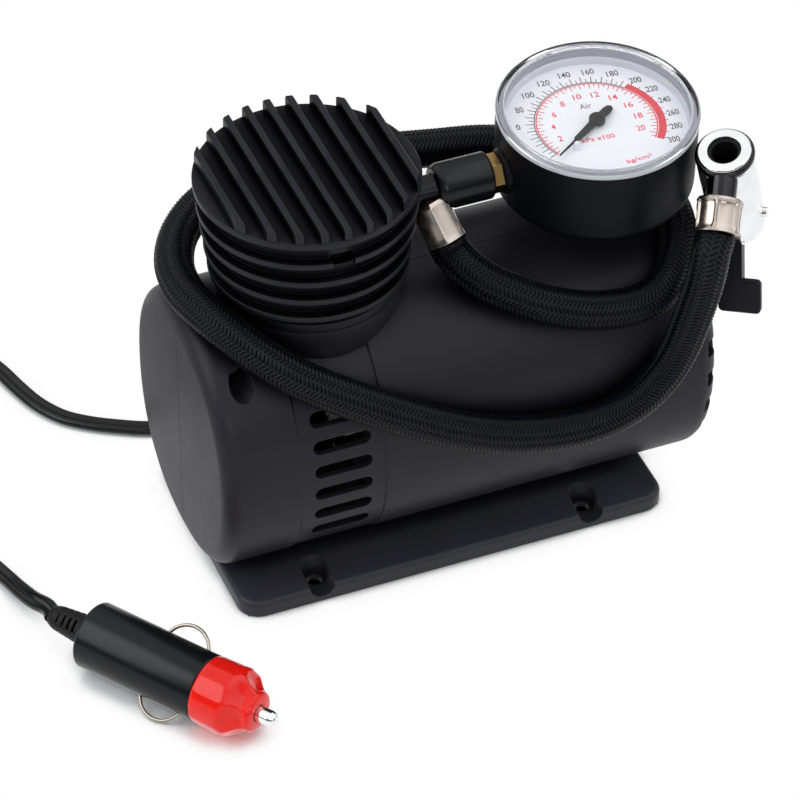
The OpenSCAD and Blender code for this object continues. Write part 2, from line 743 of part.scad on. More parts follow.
module head_screws() {
    color(steel)
    head_screw_points()
        translate([0, 0, head_top_z - 3]) mirror([0, 0, 1]) translate([0, 0, -2.4])
            screw(5.6, 2.4, head_screw_d, head_top_z - 3 + 2.4 - shelf_z - 0.4);
}

module check_ball() {
    color(steel)
    translate([cylinder_x + 3 + 2.35, 0, line_z]) sphere(d = 4.4);
}

module check_spring() {
    color(steel)
    translate([cylinder_x + 3 + 5.15, 0, line_z]) along_x() helix(1.7, 0.6, 6.4, 4);
}

// ======================================================== drive train

module gear_frame() {
    color(steel)
    difference() {
        union() {
            translate([frame_x, -17, frame_foot_z]) cube([frame_t, 34, crank_z + 16 - frame_foot_z]);
            translate([frame_x, -12, frame_foot_z]) cube([frame_t, 24, shelf_z + shelf_t - frame_foot_z]);
            translate([cylinder_x, 0, shelf_z]) cylinder(d = collar_bore_d - 2 * gap, h = shelf_t);
            translate([frame_x, 0, crank_z]) along_x() cylinder(d = gear_bush_d + 5, h = frame_t + 4);
        }
        translate([cylinder_x, 0, cylinder_z0 - 1])
            cylinder(d = cylinder_d + 2 * seat, h = shelf_z + shelf_t - cylinder_z0 + 2);
        translate([motor_x, 0, motor_z]) along_x() cylinder(d = motor_d + 2 * gap, h = motor_l);
        translate([frame_x - 1, 0, crank_z]) along_x() cylinder(d = gear_bush_d, h = frame_t + 8);
        translate([frame_x - 1, 0, motor_z]) along_x() cylinder(d = 13 + 2 * seat, h = frame_t + 2);
        for (y = [-1, 1])
            translate([frame_x - 1, y * 10.5, motor_z]) along_x() cylinder(d = 3, h = frame_t + 2);
        head_screw_points() cylinder(d = head_screw_d + 2 * seat, h = 200);
    }
}

module frame_screws() {
    color(steel)
    for (y = [-1, 1])
        translate([frame_x - 1.6, y * 10.5, motor_z]) along_x() screw(5, 1.6, 2.8, 1.6 + frame_t + 3);
}

// Bearing bushes: one for the crank gear and two for the motor shaft.
module shaft_bushes() {
    color(brass) {
        translate([frame_x - 1, 0, crank_z]) along_x() tube(gear_bush_d, crank_shaft_d + 2 * play, frame_t + 5);
        translate([frame_x, 0, motor_z]) along_x() tube(8, shaft_d + 2 * play, frame_t + motor_wall);
        translate([motor_x1, 0, motor_z]) along_x() tube(8, shaft_d + 2 * play, 8);
    }
}

module motor_can() {
    color(steel)
    difference() {
        union() {
            translate([motor_x, 0, motor_z]) along_x() cylinder(d = motor_d, h = motor_l);
            translate([frame_x, 0, motor_z]) along_x() cylinder(d = 13, h = frame_t + 1);
        }
        translate([motor_x + motor_wall, 0, motor_z]) along_x()
            cylinder(d = motor_d - 2 * motor_wall, h = motor_l);
        translate([frame_x - 1, 0, motor_z]) along_x() cylinder(d = 8, h = frame_t + 6);
        for (y = [-1, 1])
            translate([motor_x - 1, y * 10.5, motor_z]) along_x() cylinder(d = 2.8, h = 6);
    }
}

module motor_magnets() {
    inner = motor_d / 2 - motor_wall - 4.2;
    outer = motor_d / 2 - motor_wall;
    color([0.2, 0.2, 0.22])
    translate([motor_x + 12, 0, motor_z]) along_x()
        for (a = [-55, 125]) rotate([0, 0, a])
            rotate_extrude(angle = 110) translate([inner, 0]) square([outer - inner, 32]);
}

module motor_end_cap() {
    color(black)
    difference() {
        union() {
            translate([motor_x1, 0, motor_z]) along_x() cylinder(d = motor_d, h = end_cap_t);
            translate([motor_x1 + end_cap_t - eps, 0, motor_z]) along_x() cylinder(d = 14, h = 4);
            translate([motor_x1 - 9, 0, motor_z]) along_x()
                tube(motor_d - 2 * motor_wall - 2 * seat, motor_d - 2 * motor_wall - 4, 9 + eps);
        }
        translate([motor_x1 - 10, 0, motor_z]) along_x() cylinder(d = 8, h = 30);
        for (a = [60, 120, 240, 300])
            translate([motor_x1 - 1, 0, motor_z]) rotate([a, 0, 0]) translate([0, 12, 0]) along_x()
                cylinder(d = 5, h = 9, $fn = 32);
    }
}

module motor_brushes() {
    color([0.15, 0.14, 0.14])
    for (y = [-1, 1])
        translate([motor_x1 - 7.5, 0, motor_z]) mirror([0, y < 0 ? 1 : 0, 0])
            translate([0, 4.4, -1.6]) cube([5, motor_d / 2 - motor_wall - 2.1 - 4.4, 3.2]);
}

shaft_x0 = gear_x - 0.5;
shaft_x1 = fan_hub_x + fan_w + 1;

module motor_shaft() {
    color(steel)
    translate([shaft_x0, 0, motor_z]) along_x() cylinder(d = shaft_d, h = shaft_x1 - shaft_x0);
}

module armature_core() {
    color([0.45, 0.46, 0.48])
    translate([motor_x + 13, 0, motor_z]) along_x() difference() {
        cylinder(d = motor_d - 2 * motor_wall - 9.4, h = 30);
        translate([0, 0, -1]) cylinder(d = shaft_d, h = 32);
        for (a = [0, 120, 240]) rotate([0, 0, a]) {
            translate([8.6, -0.9, -1]) cube([10, 1.8, 32]);
            translate([4, -4, -1]) cube([4.6, 8, 32]);
        }
    }
}

module armature_coils() {
    color(copper)
    for (x = [motor_x + 9, motor_x + 43 + eps])
        translate([x, 0, motor_z]) along_x() tube(19, 9, 4 - eps);
}

module commutator() {
    color(copper)
    translate([motor_x1 - 8.6, 0, motor_z]) along_x() difference() {
        tube(8.2, shaft_d, 7);
        for (a = [0, 120, 240]) rotate([0, 0, a]) translate([2.6, -0.25, -1]) cube([4, 0.5, 9]);
    }
}

module pinion() {
    color(brass)
    translate([gear_x, 0, motor_z]) along_x() difference() {
        rotate([0, 0, 90 + 180 / pinion_teeth])
            linear_extrude(gear_w) polygon(gear_outline(pinion_teeth, gear_module, 0.12));
        translate([0, 0, -1]) cylinder(d = shaft_d, h = gear_w + 2);
    }
}

module fan() {
    color(black)
    translate([fan_hub_x, 0, motor_z]) along_x() {
        difference() {
            union() {
                cylinder(d = 12, h = fan_w);
                cylinder(d = fan_d, h = 1.2);
                for (i = [0 : fan_blades - 1])
                    rotate([0, 0, 360 * i / fan_blades]) translate([5, -0.7, 0.6])
                        cube([fan_d / 2 - 6, 1.4, fan_w - 0.6]);
            }
            translate([0, 0, -1]) cylinder(d = shaft_d, h = fan_w + 2);
        }
    }
}

module crank_gear() {
    color(white)
    translate([gear_x, 0, crank_z]) along_x() difference() {
        union() {
            linear_extrude(gear_w) difference() {
                rotate([0, 0, -90]) polygon(gear_outline(gear_teeth, gear_module, 0.12));
                circle(d = crank_shaft_d);
            }
        }
        translate([0, 0, -1]) difference() {
            cylinder(d = gear_pitch_d - 7, h = 2.5);
            cylinder(d = 20, h = 2.5);
        }
        for (a = [0 : 60 : 300]) rotate([0, 0, a]) translate([13.6, 0, -1]) cylinder(d = 3.6, h = gear_w + 2, $fn = 32);
    }
}

module crank_shaft() {
    color(steel)
    translate([gear_x, 0, crank_z]) along_x() {
        cylinder(d = crank_shaft_d, h = frame_x - gear_x + frame_t + 5.5);
    }
}

module connecting_rod() {
    big_end = 12;
    color(shell_black)
    difference() {
        union() {
            translate([cylinder_x - rod_t / 2, 0, crank_pin_z]) along_x() cylinder(d = big_end, h = rod_t);
            translate([cylinder_x - rod_t / 2, -3.2, crank_pin_z]) cube([rod_t, 6.4, rod_l - 2]);
            translate([cylinder_x, 0, piston_z - 4]) cylinder(d = bore_d - 3, h = 3);
            translate([cylinder_x, 0, piston_z - 10]) cylinder(d1 = 8, d2 = bore_d - 6, h = 6 + eps);
        }
        translate([cylinder_x - rod_t, 0, crank_pin_z]) along_x() cylinder(d = 5, h = 2 * rod_t);
        translate([cylinder_x, 0, piston_z - 8]) cylinder(d = 2.5, h = 10);
    }
}

module crank_pin() {
    color(steel)
    translate([cylinder_x - rod_t / 2, 0, crank_pin_z]) along_x()
        cylinder(d = 5, h = gear_x - gap - cylinder_x + rod_t / 2);
}

module piston_seal() {
    color([0.55, 0.42, 0.3])
    translate([cylinder_x, 0, piston_z - 1]) difference() {
        cylinder(d = bore_d - 0.1, h = 3);
        translate([0, 0, 1]) cylinder(d = bore_d - 2.4, h = 3);
        translate([0, 0, -1]) cylinder(d = 2.9, h = 5);
    }
}

module piston_cap() {
    color(steel)
    translate([cylinder_x, 0, piston_z]) {
        difference() {
            cylinder(d = bore_d - 3.4, h = 1.6);
            cylinder(d = 5.4, h = 4);
        }
        translate([0, 0, 0]) cylinder(d = 5.2, h = 1.8);
        translate([0, 0, -7]) cylinder(d = 2.5, h = 7.1);
    }
}

// ======================================================== air line and gauge

module tee_fitting() {
    spigot_x = cylinder_x + 14.6;
    neck_x = cylinder_x + head_d / 2 + 0.6;
    end_x = sleeve_x0 + sleeve_l;
    color(black)
    difference() {
        union() {
            difference() {
                translate([0, 0, line_z]) along_x() rotate_extrude() polygon([
                    [0, spigot_x], [4 - seat, spigot_x], [4 - seat, neck_x], [neck_d / 2, neck_x],
                    [neck_d / 2, sleeve_x0], [sleeve_d / 2 - 1, sleeve_x0], [sleeve_d / 2, sleeve_x0 + 2],
                    [sleeve_d / 2, end_x - 0.5], [sleeve_d / 2 - 0.5, end_x], [0, end_x]]);
                ferrule_room(tee_branch_foot, tee_branch_end);
            }
            aim(tee_branch_end, tee_branch_foot) cylinder(d = 6.6, h = norm(tee_branch_end - tee_branch_foot) + 2);
        }
        translate([spigot_x - 1, 0, line_z]) along_x() cylinder(d = line_bore_d, h = stem_x - spigot_x - 6);
        translate([stem_x - 9, 0, line_z]) along_x() cylinder(d = 8 + 2 * seat, h = 20);
        aim(tee_branch_end, tee_branch_foot) translate([0, 0, -1])
            cylinder(d = 2.6, h = norm(tee_branch_end - tee_branch_foot) + 4);
    }
}

// One brass piece: spigot and hexagon outside, and inside the gauge the block
// that ends the air line, with the plate that carries the movement.
module brass_stem() {
    block_x = -gauge_d / 2 + gauge_wall + 0.4;
    plate_z = case_bottom + 2;
    color(brass)
    difference() {
        union() {
            translate([stem_x - 9, 0, line_z]) along_x() cylinder(d = 8, h = 20);
            translate([stem_x, 0, line_z]) along_x() cylinder(d = stem_hex, h = gauge_neck_x - stem_x, $fn = 6);
            gauge_frame() {
                translate([block_x, -5.6, plate_z]) cube([7.3, 11.2, 6 - plate_z]);
                translate([block_x, -5, plate_z]) cube([14 - block_x, 10, 2]);
                for (y = [-1, 1])
                    translate([2, y * 3.8, plate_z]) cylinder(d = 2.2, h = dial_z - plate_z);
            }
        }
        gauge_frame()
            for (x = [0, sector_pivot_x]) translate([x, 0, case_bottom]) cylinder(d = arbor_d + 2 * play, h = 5);
        translate([stem_x - 10, 0, line_z]) along_x() cylinder(d = 3, h = 22);
    }
}

module gauge_case() {
    neck_l = gauge_x - gauge_neck_x;
    color(black)
    gauge_frame() difference() {
        union() {
            rotate_extrude($fn = 96) polygon(concat(
                [[0, case_bottom]],
                [for (a = [0 : 15 : 90]) [gauge_d / 2 - 4 + 4 * sin(a), case_bottom + 4 - 4 * cos(a)]],
                [[gauge_d / 2, case_top], [0, case_top]]));
            translate([-neck_l, 0, 0]) along_x() cylinder(d = 14, h = neck_l - gauge_d / 2 + 6);
        }
        translate([0, 0, case_bottom + 2]) cylinder(d = gauge_d - 2 * gauge_wall, h = gauge_case_h, $fn = 96);
        translate([-neck_l - 1, 0, 0]) along_x() cylinder(d = 8, h = neck_l);
    }
}

module gauge_dial() {
    color(white)
    gauge_frame() translate([0, 0, dial_z]) tube(dial_d, 2.6, dial_t);
}

module gauge_lens() {
    inner = dial_d - 4.4;
    top = case_top + gauge_lens_h;
    color([0.85, 0.9, 0.95, 0.5])
    gauge_frame() rotate_extrude($fn = 96) polygon([
        [0, top - lens_t], [inner / 2 - 1, top - lens_t], [inner / 2, top - lens_t - 1.4],
        [dial_d / 2 - 1.2, dial_z + dial_t], [dial_d / 2 - 0.1, dial_z + dial_t], [dial_d / 2 - 0.1, case_top],
        [gauge_d / 2, case_top], [gauge_d / 2, top - 0.6], [gauge_d / 2 - 0.6, top], [gauge_d / 2 - 2.4, top],
        [gauge_d / 2 - 3, top - 0.5], [0, top - 0.5]
    ]);
}

module bourdon_tube() {
    color(brass)
    gauge_frame() translate([0, 0, case_bottom + 6]) rotate([0, 0, 196]) {
        rotate_extrude(angle = 250) translate([tube_r, 0]) square([1.6, 8]);
    }
}

sector_pivot_x = -(sector_r + needle_pinion_r + 0.1);

module sector_gear() {
    color(brass)
    gauge_frame() translate([sector_pivot_x, 0, 0]) {
        translate([0, 0, 3.2]) linear_extrude(1.2) polygon(concat(
            [[-2.6, -1.8], [-2.2, 2.4]],
            [for (a = [3 : -6 : -45]) sector_r * [cos(a), sin(a)]]));
        translate([0, 0, case_bottom + 2.6]) cylinder(d = arbor_d, h = 4.6 - case_bottom - 2.6);
    }
}

module gauge_needle() {
    color(black)
    gauge_frame() {
        translate([0, 0, case_bottom + 2.6]) cylinder(d = arbor_d, h = dial_z + 3.4 - case_bottom - 2.6);
        translate([0, 0, 2.8]) cylinder(r = needle_pinion_r - 0.2, h = 2);
        translate([0, 0, dial_z + 1.5]) cylinder(d = 5.4, h = 1.9);
        rotate([0, 0, needle_rest]) translate([0, 0, dial_z + 1.6]) linear_extrude(0.8) polygon([
            [2, -1.5], [12, -1.2], [12.6, -0.4], [20.2, -0.2], [20.2, 0.2], [12.6, 0.4], [12, 1.2], [2, 1.5],
            [-7, 1.7], [-7.8, 0], [-7, -1.7]]);
    }
}

// ======================================================== hose and chuck

module ferrule(foot, end) {
    l = norm(end - foot);
    color(chrome)
    aim(foot, end) rotate_extrude() polygon([
        [3.3 + seat, 0], [ferrule_d / 2 - 1.2, 0], [ferrule_d / 2 - 0.2, 1.4], [ferrule_d / 2 - 0.5, l - 1.4],
        [ferrule_d / 2, l], [3.3 + seat, l]]);
}

// The room a ferrule takes where it beds into the piece it sits on.
module ferrule_room(foot, end) {
    aim(foot, end) translate([0, 0, -seat]) cylinder(d = ferrule_d + 2 * seat, h = norm(end - foot) + 1);
}

module tee_ferrule() { ferrule(tee_branch_foot, tee_branch_end); }
module chuck_ferrule() { ferrule(chuck_stem_foot, chuck_stem_end); }

module hose() {
    color(black)
    sweep(hose_points, hose_d, hose_d, 10, 1);
}

// Elbow between the hose's ferrule and the chuck's valve chamber.
chuck_elbow = chuck_stem_foot + 4.6 * unit(chuck_stem_foot - chuck_stem_end);
chuck_port = chuck_point(-17);

module chuck_body() {
    slot_z = chuck_pin_z + lever_hub_d / 2 + gap;
    color(chrome)
    difference() {
        union() {
            difference() {
                union() {
                    chuck_frame() rotate_extrude() polygon([
                        [0, -chuck_l], [chuck_d / 2 - 2.4, -chuck_l], [chuck_d / 2 - 0.8, -chuck_l + 1.2],
                        [chuck_d / 2 - 0.2, -chuck_l + 3.6], [chuck_d / 2, -4], [chuck_d / 2 - 0.4, -3.2],
                        [chuck_d / 2 - 0.3, -1.6], [chuck_d / 2 - 1.2, -0.4], [chuck_d / 2 - 2.2, 0], [0, 0]]);
                    aim(chuck_stem_foot, chuck_elbow) rotate_extrude()
                        polygon([[0, 0], [4.5, 0], [4.5, 6.4], [4, 7.8], [2.8, 8.8], [0, 9.2]]);
                    aim(chuck_elbow, chuck_port) cylinder(d = 8, h = 12);
                }
                ferrule_room(chuck_stem_foot, chuck_stem_end);
            }
            aim(chuck_stem_end, chuck_elbow) cylinder(d = 6.6, h = norm(chuck_stem_foot - chuck_stem_end) + 1);
        }
        chuck_frame() {
            translate([0, 0, -valve_bore_l - 7]) cylinder(d = valve_bore_d + 2, h = valve_bore_l + 8);
            // slot for the lever, open below and to the front
            translate([-lever_t / 2 - gap, -chuck_d, -chuck_l - 1])
                cube([lever_t + 2 * gap, chuck_d + lever_hub_d / 2 + gap, chuck_l + 1 + slot_z]);
            translate([-chuck_d, 0, chuck_pin_z]) along_x() cylinder(d = chuck_pin_d + 2 * seat, h = 2 * chuck_d);
            translate([0, 0, slot_z - 1]) cylinder(d = 3, h = 12);
        }
        aim(chuck_stem_end, chuck_elbow) translate([0, 0, -1])
            cylinder(d = 2.6, h = norm(chuck_elbow - chuck_stem_end) + 2);
        aim(chuck_elbow, chuck_port) cylinder(d = 2.4, h = 9);
    }
}

module chuck_seal() {
    color(black)
    chuck_frame() translate([0, 0, -valve_bore_l]) tube(valve_bore_d + 2, valve_bore_d, valve_bore_l - 1.2);
}

module chuck_core() {
    color(brass)
    chuck_frame() translate([0, 0, -valve_bore_l - 3]) {
        tube(valve_bore_d + 2, 5, 3 - seat);
        translate([-3, -0.6, 0.6]) cube([6, 1.2, 1.4]);
        cylinder(d = 2, h = 2.7);
    }
}

module chuck_pin() {
    color(chrome)
    chuck_frame() translate([0, 0, chuck_pin_z]) {
        translate([-chuck_d / 2 - 2.4, 0, 0]) along_x() cylinder(d = chuck_pin_d, h = chuck_d + 3.6);
        translate([-chuck_d / 2 - 2.6, 0, 0]) along_x() cylinder(d = 5, h = 2.4);
    }
}

module chuck_lever() {
    pad_l = 11;
    pad_offset = 1.6;
    color(black)
    chuck_frame() translate([0, 0, chuck_pin_z]) rotate([-lever_fold, 0, 0]) difference() {
        union() {
            translate([-lever_t / 2, 0, 0]) along_x() cylinder(d = lever_hub_d, h = lever_t);
            translate([-lever_t / 2, -2, -lever_l + pad_l / 2]) cube([lever_t, 4, lever_l - pad_l / 2]);
            translate([pad_offset, -2, -lever_l + pad_l / 2]) rotate([-90, 0, 0])
                rounded_box([lever_pad_w, pad_l, 2.6], 1.4);
        }
        translate([-lever_t, 0, 0]) along_x() cylinder(d = chuck_pin_d + 2 * play, h = 2 * lever_t);
    }
}

// ======================================================== power lead and plug

module cord_gland() {
    wall = housing_wall + 0.6;
    color(black)
    translate([gland_x, gland_wall_y, gland_z]) rotate([-90, 0, 0]) difference() {
        union() {
            translate([0, 0, -wall - 1]) cylinder(d = gland_d - 3, h = wall + 2);
            translate([0, 0, -wall - 2]) cylinder(d = gland_d + 1, h = 2 - seat);
            translate([0, 0, seat]) cylinder(d = gland_d + 1, h = 2);
            translate([0, 0, 1]) cylinder(d1 = gland_d, d2 = cord_w + 1.4, h = gland_len - 1);
        }
        for (i = [0 : 4])
            translate([0, 0, 6 + i * 3.4]) difference() {
                cylinder(d = 20, h = 1.3);
                translate([0, 0, -1]) cylinder(d = cord_w + 0.5, h = 4);
            }
    }
}

module cord_lead() { color(black) sweep(lead_points, cord_w, cord_t, 8, 2); }
module cord_tail() { color(black) sweep(tail_points, cord_w, cord_t, 8, 2); }

module cord_coil() {
    color(black)
    translate([coil_centre[0], coil_centre[1], 0]) rotate_extrude()
        translate([coil_turn_r - coil_band / 2, 0]) square([coil_band, coil_h]);
}

module cord_tie() {
    color([0.12, 0.12, 0.13])
    translate([coil_centre[0] + coil_turn_r, coil_centre[1] - 1.6, 0]) rotate([-90, 0, 0]) linear_extrude(3.2)
        difference() {
            translate([-coil_band / 2 - 1.2, -coil_h - 1.2]) square([coil_band + 2.4, coil_h + 1.2]);
            translate([-coil_band / 2 - seat, -coil_h - seat]) square([coil_band + 2 * seat, coil_h + 2]);
        }
}

module plug_boot() {
    color(black)
    plug_frame() difference() {
        union() {
            translate([0, 0, -boot_l]) cylinder(d1 = cord_w + 3.4, d2 = 11, h = boot_l);
            cylinder(d = 7, h = plug_floor_z - seat);
        }
        // room for the coil when the centre contact is pressed in
        translate([0, 0, -centre_travel - gap]) cylinder(d = fuse_coil_d + 2 * gap, h = 10);
        for (i = [0 : 3])
            translate([0, 0, -boot_l + 3 + i * 2.6]) difference() {
                cylinder(d = 20, h = 1.1);
                translate([0, 0, -1]) cylinder(d = cord_w + 1.6, h = 4);
            }
    }
}

spring_slot_l = 20;
spring_slot_x = plug_body_l - spring_slot_l - 2;
spring_wire = 1.1;
spring_turn = 40;     // of the side contacts about the plug's axis, towards the ground

module plug_body() {
    color(black)
    plug_frame() difference() {
        rotate_extrude() polygon([
            [0, 0], [plug_d / 2 - 2, 0], [plug_d / 2 - 0.6, 0.6], [plug_d / 2, 2], [plug_d / 2, plug_body_l],
            [plug_d / 2 - 2, plug_body_l], [plug_d / 2 - 2, plug_body_l + 6], [0, plug_body_l + 6]]);
        translate([0, 0, plug_floor_z]) cylinder(d = plug_d - 7, h = plug_body_l + 10);
        translate([0, 0, -1]) cylinder(d = 7 + 2 * seat, h = 6);
        for (side = [0, 1]) rotate([0, 0, spring_turn + 180 * side])
            translate([-1.2, 3, spring_slot_x]) cube([2.4, plug_d, spring_slot_l]);
    }
}

// A bent wire arch that stands out through the slot in the plug's side.
module plug_spring(side) {
    reach = side_spring_out + 3.2;
    span = spring_slot_l - 3.4;
    r = (reach * reach + span * span / 4) / (2 * reach);
    half = asin(min(1, span / 2 / r));
    color(chrome)
    plug_frame() rotate([0, 0, spring_turn + 180 * side])
        translate([0, plug_d / 2 + side_spring_out - r, spring_slot_x + spring_slot_l / 2])
            rotate([0, 90, 0]) rotate([0, 0, 90 - half])
                rotate_extrude(angle = 2 * half) translate([r - spring_wire / 2, 0]) circle(d = spring_wire, $fn = 16);
}

module plug_spring_left() { plug_spring(0); }
module plug_spring_right() { plug_spring(1); }

module plug_nose() {
    z0 = plug_body_l + gap / 2;
    l = plug_nose_l - gap / 2;
    color(red)
    plug_frame() translate([0, 0, z0]) difference() {
        rotate_extrude() polygon([
            [plug_d / 2 - 2 + 0.1, 0], [plug_d / 2, 0], [plug_d / 2 - 0.2, l * 0.5], [plug_d / 2 - 0.8, l * 0.58],
            [plug_d / 2 - 3.4, l * 0.78], [plug_d / 2 - 5, l * 0.88], [plug_d / 2 - 5.4, l], [plug_tip_d / 2 + 0.1, l],
            [plug_tip_d / 2 + 0.1, l - 5], [plug_d / 2 - 2 + 0.1, l - 9.6]]);
        for (a = [0 : 60 : 300]) rotate([0, 0, a + 30])
            translate([plug_d / 2 + 1.6, 0, l * 0.6]) cylinder(d = 9, h = l);
    }
}

module plug_tip() {
    z = plug_body_l + plug_nose_l;
    color(chrome)
    plug_frame() rotate_extrude() polygon(concat(
        [[0, z - 9], [plug_tip_d / 2 + 1.2, z - 9], [plug_tip_d / 2 + 1.2, z - 6], [plug_tip_d / 2, z - 6]],
        [for (a = [0 : 15 : 90]) [plug_tip_d / 2 * cos(a), z + plug_tip_out - plug_tip_d / 2 + plug_tip_d / 2 * sin(a)]]));
}

fuse_l = 27;
fuse_z = plug_body_l + plug_nose_l - 9.2 - fuse_l;
plug_floor_z = 2.4;
fuse_coil_wire = 0.8;
fuse_coil_d = 5.6;
centre_travel = 2.5;

module plug_fuse() {
    color([0.85, 0.88, 0.9])
    plug_frame() translate([0, 0, fuse_z]) cylinder(d = 6.2, h = fuse_l);
}

module plug_coil() {
    color(steel)
    plug_frame() translate([0, 0, plug_floor_z]) helix((fuse_coil_d - fuse_coil_wire) / 2, fuse_coil_wire, fuse_z - plug_floor_z, 6);
}

// ======================================================== drawing

base_plate();
base_screws();
housing_front();
housing_rear();
housing_screws();
cylinder_cover();
cylinder_barrel();
valve_plate();
cylinder_head();
head_screws();
check_ball();
check_spring();
gear_frame();
frame_screws();
shaft_bushes();
motor_can();
motor_magnets();
motor_end_cap();
motor_brushes();
motor_shaft();
armature_core();
armature_coils();
commutator();
pinion();
fan();
crank_gear();
crank_shaft();
connecting_rod();
piston_seal();
piston_cap();
crank_pin();
tee_fitting();
brass_stem();
gauge_case();
gauge_dial();
gauge_lens();
bourdon_tube();
sector_gear();
gauge_needle();
tee_ferrule();
hose();
chuck_ferrule();
chuck_body();
chuck_seal();
chuck_core();
chuck_pin();
chuck_lever();
cord_gland();
cord_lead();
cord_coil();
cord_tie();
cord_tail();
plug_boot();
plug_body();
plug_spring_left();
plug_spring_right();
plug_nose();
plug_tip();
plug_fuse();
plug_coil();
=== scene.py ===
"""Portable tire inflator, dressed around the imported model.

Lengths in this script are millimetres in the model's own frame, and become
metres where a mesh is made. Names and values follow the part's source.
"""

import json
import math

import bpy
import numpy as np
from mathutils import Matrix, Vector


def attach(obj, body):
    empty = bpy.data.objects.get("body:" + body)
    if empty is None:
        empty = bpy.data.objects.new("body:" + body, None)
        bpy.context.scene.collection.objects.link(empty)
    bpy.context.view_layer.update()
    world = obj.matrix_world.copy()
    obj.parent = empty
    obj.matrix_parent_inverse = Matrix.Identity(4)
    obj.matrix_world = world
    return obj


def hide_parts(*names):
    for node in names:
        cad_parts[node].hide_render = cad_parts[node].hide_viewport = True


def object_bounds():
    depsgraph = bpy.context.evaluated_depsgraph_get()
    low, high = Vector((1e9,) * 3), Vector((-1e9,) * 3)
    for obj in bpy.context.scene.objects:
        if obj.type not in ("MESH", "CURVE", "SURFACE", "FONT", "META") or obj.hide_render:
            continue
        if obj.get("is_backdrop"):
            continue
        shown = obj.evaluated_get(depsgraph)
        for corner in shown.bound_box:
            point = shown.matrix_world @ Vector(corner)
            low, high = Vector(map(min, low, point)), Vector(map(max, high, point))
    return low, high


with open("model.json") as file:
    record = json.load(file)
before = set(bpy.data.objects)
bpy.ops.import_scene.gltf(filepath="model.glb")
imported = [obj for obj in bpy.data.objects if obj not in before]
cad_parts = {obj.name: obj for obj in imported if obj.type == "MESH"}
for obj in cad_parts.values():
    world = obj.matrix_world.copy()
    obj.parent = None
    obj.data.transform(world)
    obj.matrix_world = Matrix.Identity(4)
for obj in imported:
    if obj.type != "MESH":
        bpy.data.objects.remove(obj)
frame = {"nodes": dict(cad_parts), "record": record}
cad_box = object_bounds()
nodes = frame["nodes"]
MM = 0.001

# ---- camera
VIEW_TARGET = Vector((-9.6, -14.7, 50))
VIEW_AZIMUTH, VIEW_ELEVATION = math.radians(-22), math.radians(40.8)
VIEW_DISTANCE, VIEW_NEAR, VIEW_FAR = 1427, 50, 50000
VIEW_LENS, VIEW_SENSOR = 211.9, 36

back = Vector((
    math.sin(VIEW_AZIMUTH) * math.cos(VIEW_ELEVATION),
    -math.cos(VIEW_AZIMUTH) * math.cos(VIEW_ELEVATION),
    math.sin(VIEW_ELEVATION),
))
camera = bpy.data.objects.new("camera", bpy.data.cameras.new("camera"))
bpy.context.scene.collection.objects.link(camera)
camera.data.lens = VIEW_LENS
camera.data.sensor_width = VIEW_SENSOR
camera.data.clip_start = VIEW_NEAR * MM
camera.data.clip_end = VIEW_FAR * MM
camera.location = (VIEW_TARGET + back * VIEW_DISTANCE) * MM
camera.rotation_mode = "QUATERNION"
camera.rotation_quaternion = (-back).to_track_quat("-Z", "Y")
bpy.context.scene.camera = camera

# ---- sizes
FAR = 200             # cutters reach this far

BASE_L, BASE_W, BASE_LIP, BASE_H = 140, 78, 5.3, 8.5
BASE_SLOPE, BASE_CORNER, BASE_WALL, BASE_RIB = 12, 7, 2.6, 1.8
MOUNT_X, MOUNT_Y, MOUNT_HOLE, NOTCH, SEAT_H = 44.5, 31, 4.5, 8, 1.9
MOUNTS = [(sx * MOUNT_X, sy * MOUNT_Y, sy) for sx in (-1, 1) for sy in (-1, 1)]
MOUNT_PAD, BASE_SCREW_PAD, BASE_SCREW_D, BASE_SCREW_HEAD = NOTCH + 3, 10, 3.4, 6.6
BASE_SCREWS = [(x, y) for x in (-52, 52) for y in (-9, 9)]

HOUSE_X0, HOUSE_X1, HOUSE_W, HOUSE_H = -75.3, 85.7, 81, 85
HOUSE_POWER, AXIS_Z, WALL = 2.3, 48.5, 2.4
END_ROUND, FAN_END_ROUND = 5.5, 7
SEAM = 0.14
SLOT_X, SLOT_TOP, SLOT_L, SLOT_H, SLOT_PITCH, SLOT_COUNT = -37.7, 70.3, 18.4, 4.6, 8.6, 6
SLOT_CUT = (12, 60)
BAND_X0, BAND_X1, BAND_DEPTH = -51.5, -23.9, 0.5
FAN_SLOTS, FAN_SLOT_W, FAN_SLOT_L = 22, 5.4, 4.2
HOUSE_SCREW_X, HOUSE_SCREW_Z, SCREW_BORE = (-64.7, 73.7), 82.6, 7.2
SCREW_HOLE, SCREW_PILOT = 3.5, 3
GLAND, GLAND_BORE, LEAD_BORE = (10, 30.5, 21), 11.5, 6.6

COVER_X, COVER_Z = -33, 95.6
COLLAR_R, COLLAR_FOOT_R = 28, 25.5
RING_Z = [103.3 - 2.2 + 7.3 * k for k in range(4)]
RING_R = [30.2, 31.1, 32.0, 32.9]
COVER_R, COVER_TOP, COVER_WALL = 33.8, 133.4, 3.4
RING_T, GROOVE = 2.2, 3
FINS, FIN_T, FIN_H, FIN_PITCH = 9, 2.2, 3.7, 6.95

LINE_Z = 116
LINE_BORE = 6.6
GAUGE_X, GAUGE_LEAN, GAUGE_R, CUP_WALL = 59.5, math.radians(4), 30.5, 1.8
CASE_BOTTOM, CASE_TOP, LENS_TOP, LENS_T = -12.2, 14.2, 16.5, 1.4
DIAL_R, DIAL_Z = 28.2, 9.0
NEEDLE_REST = 213

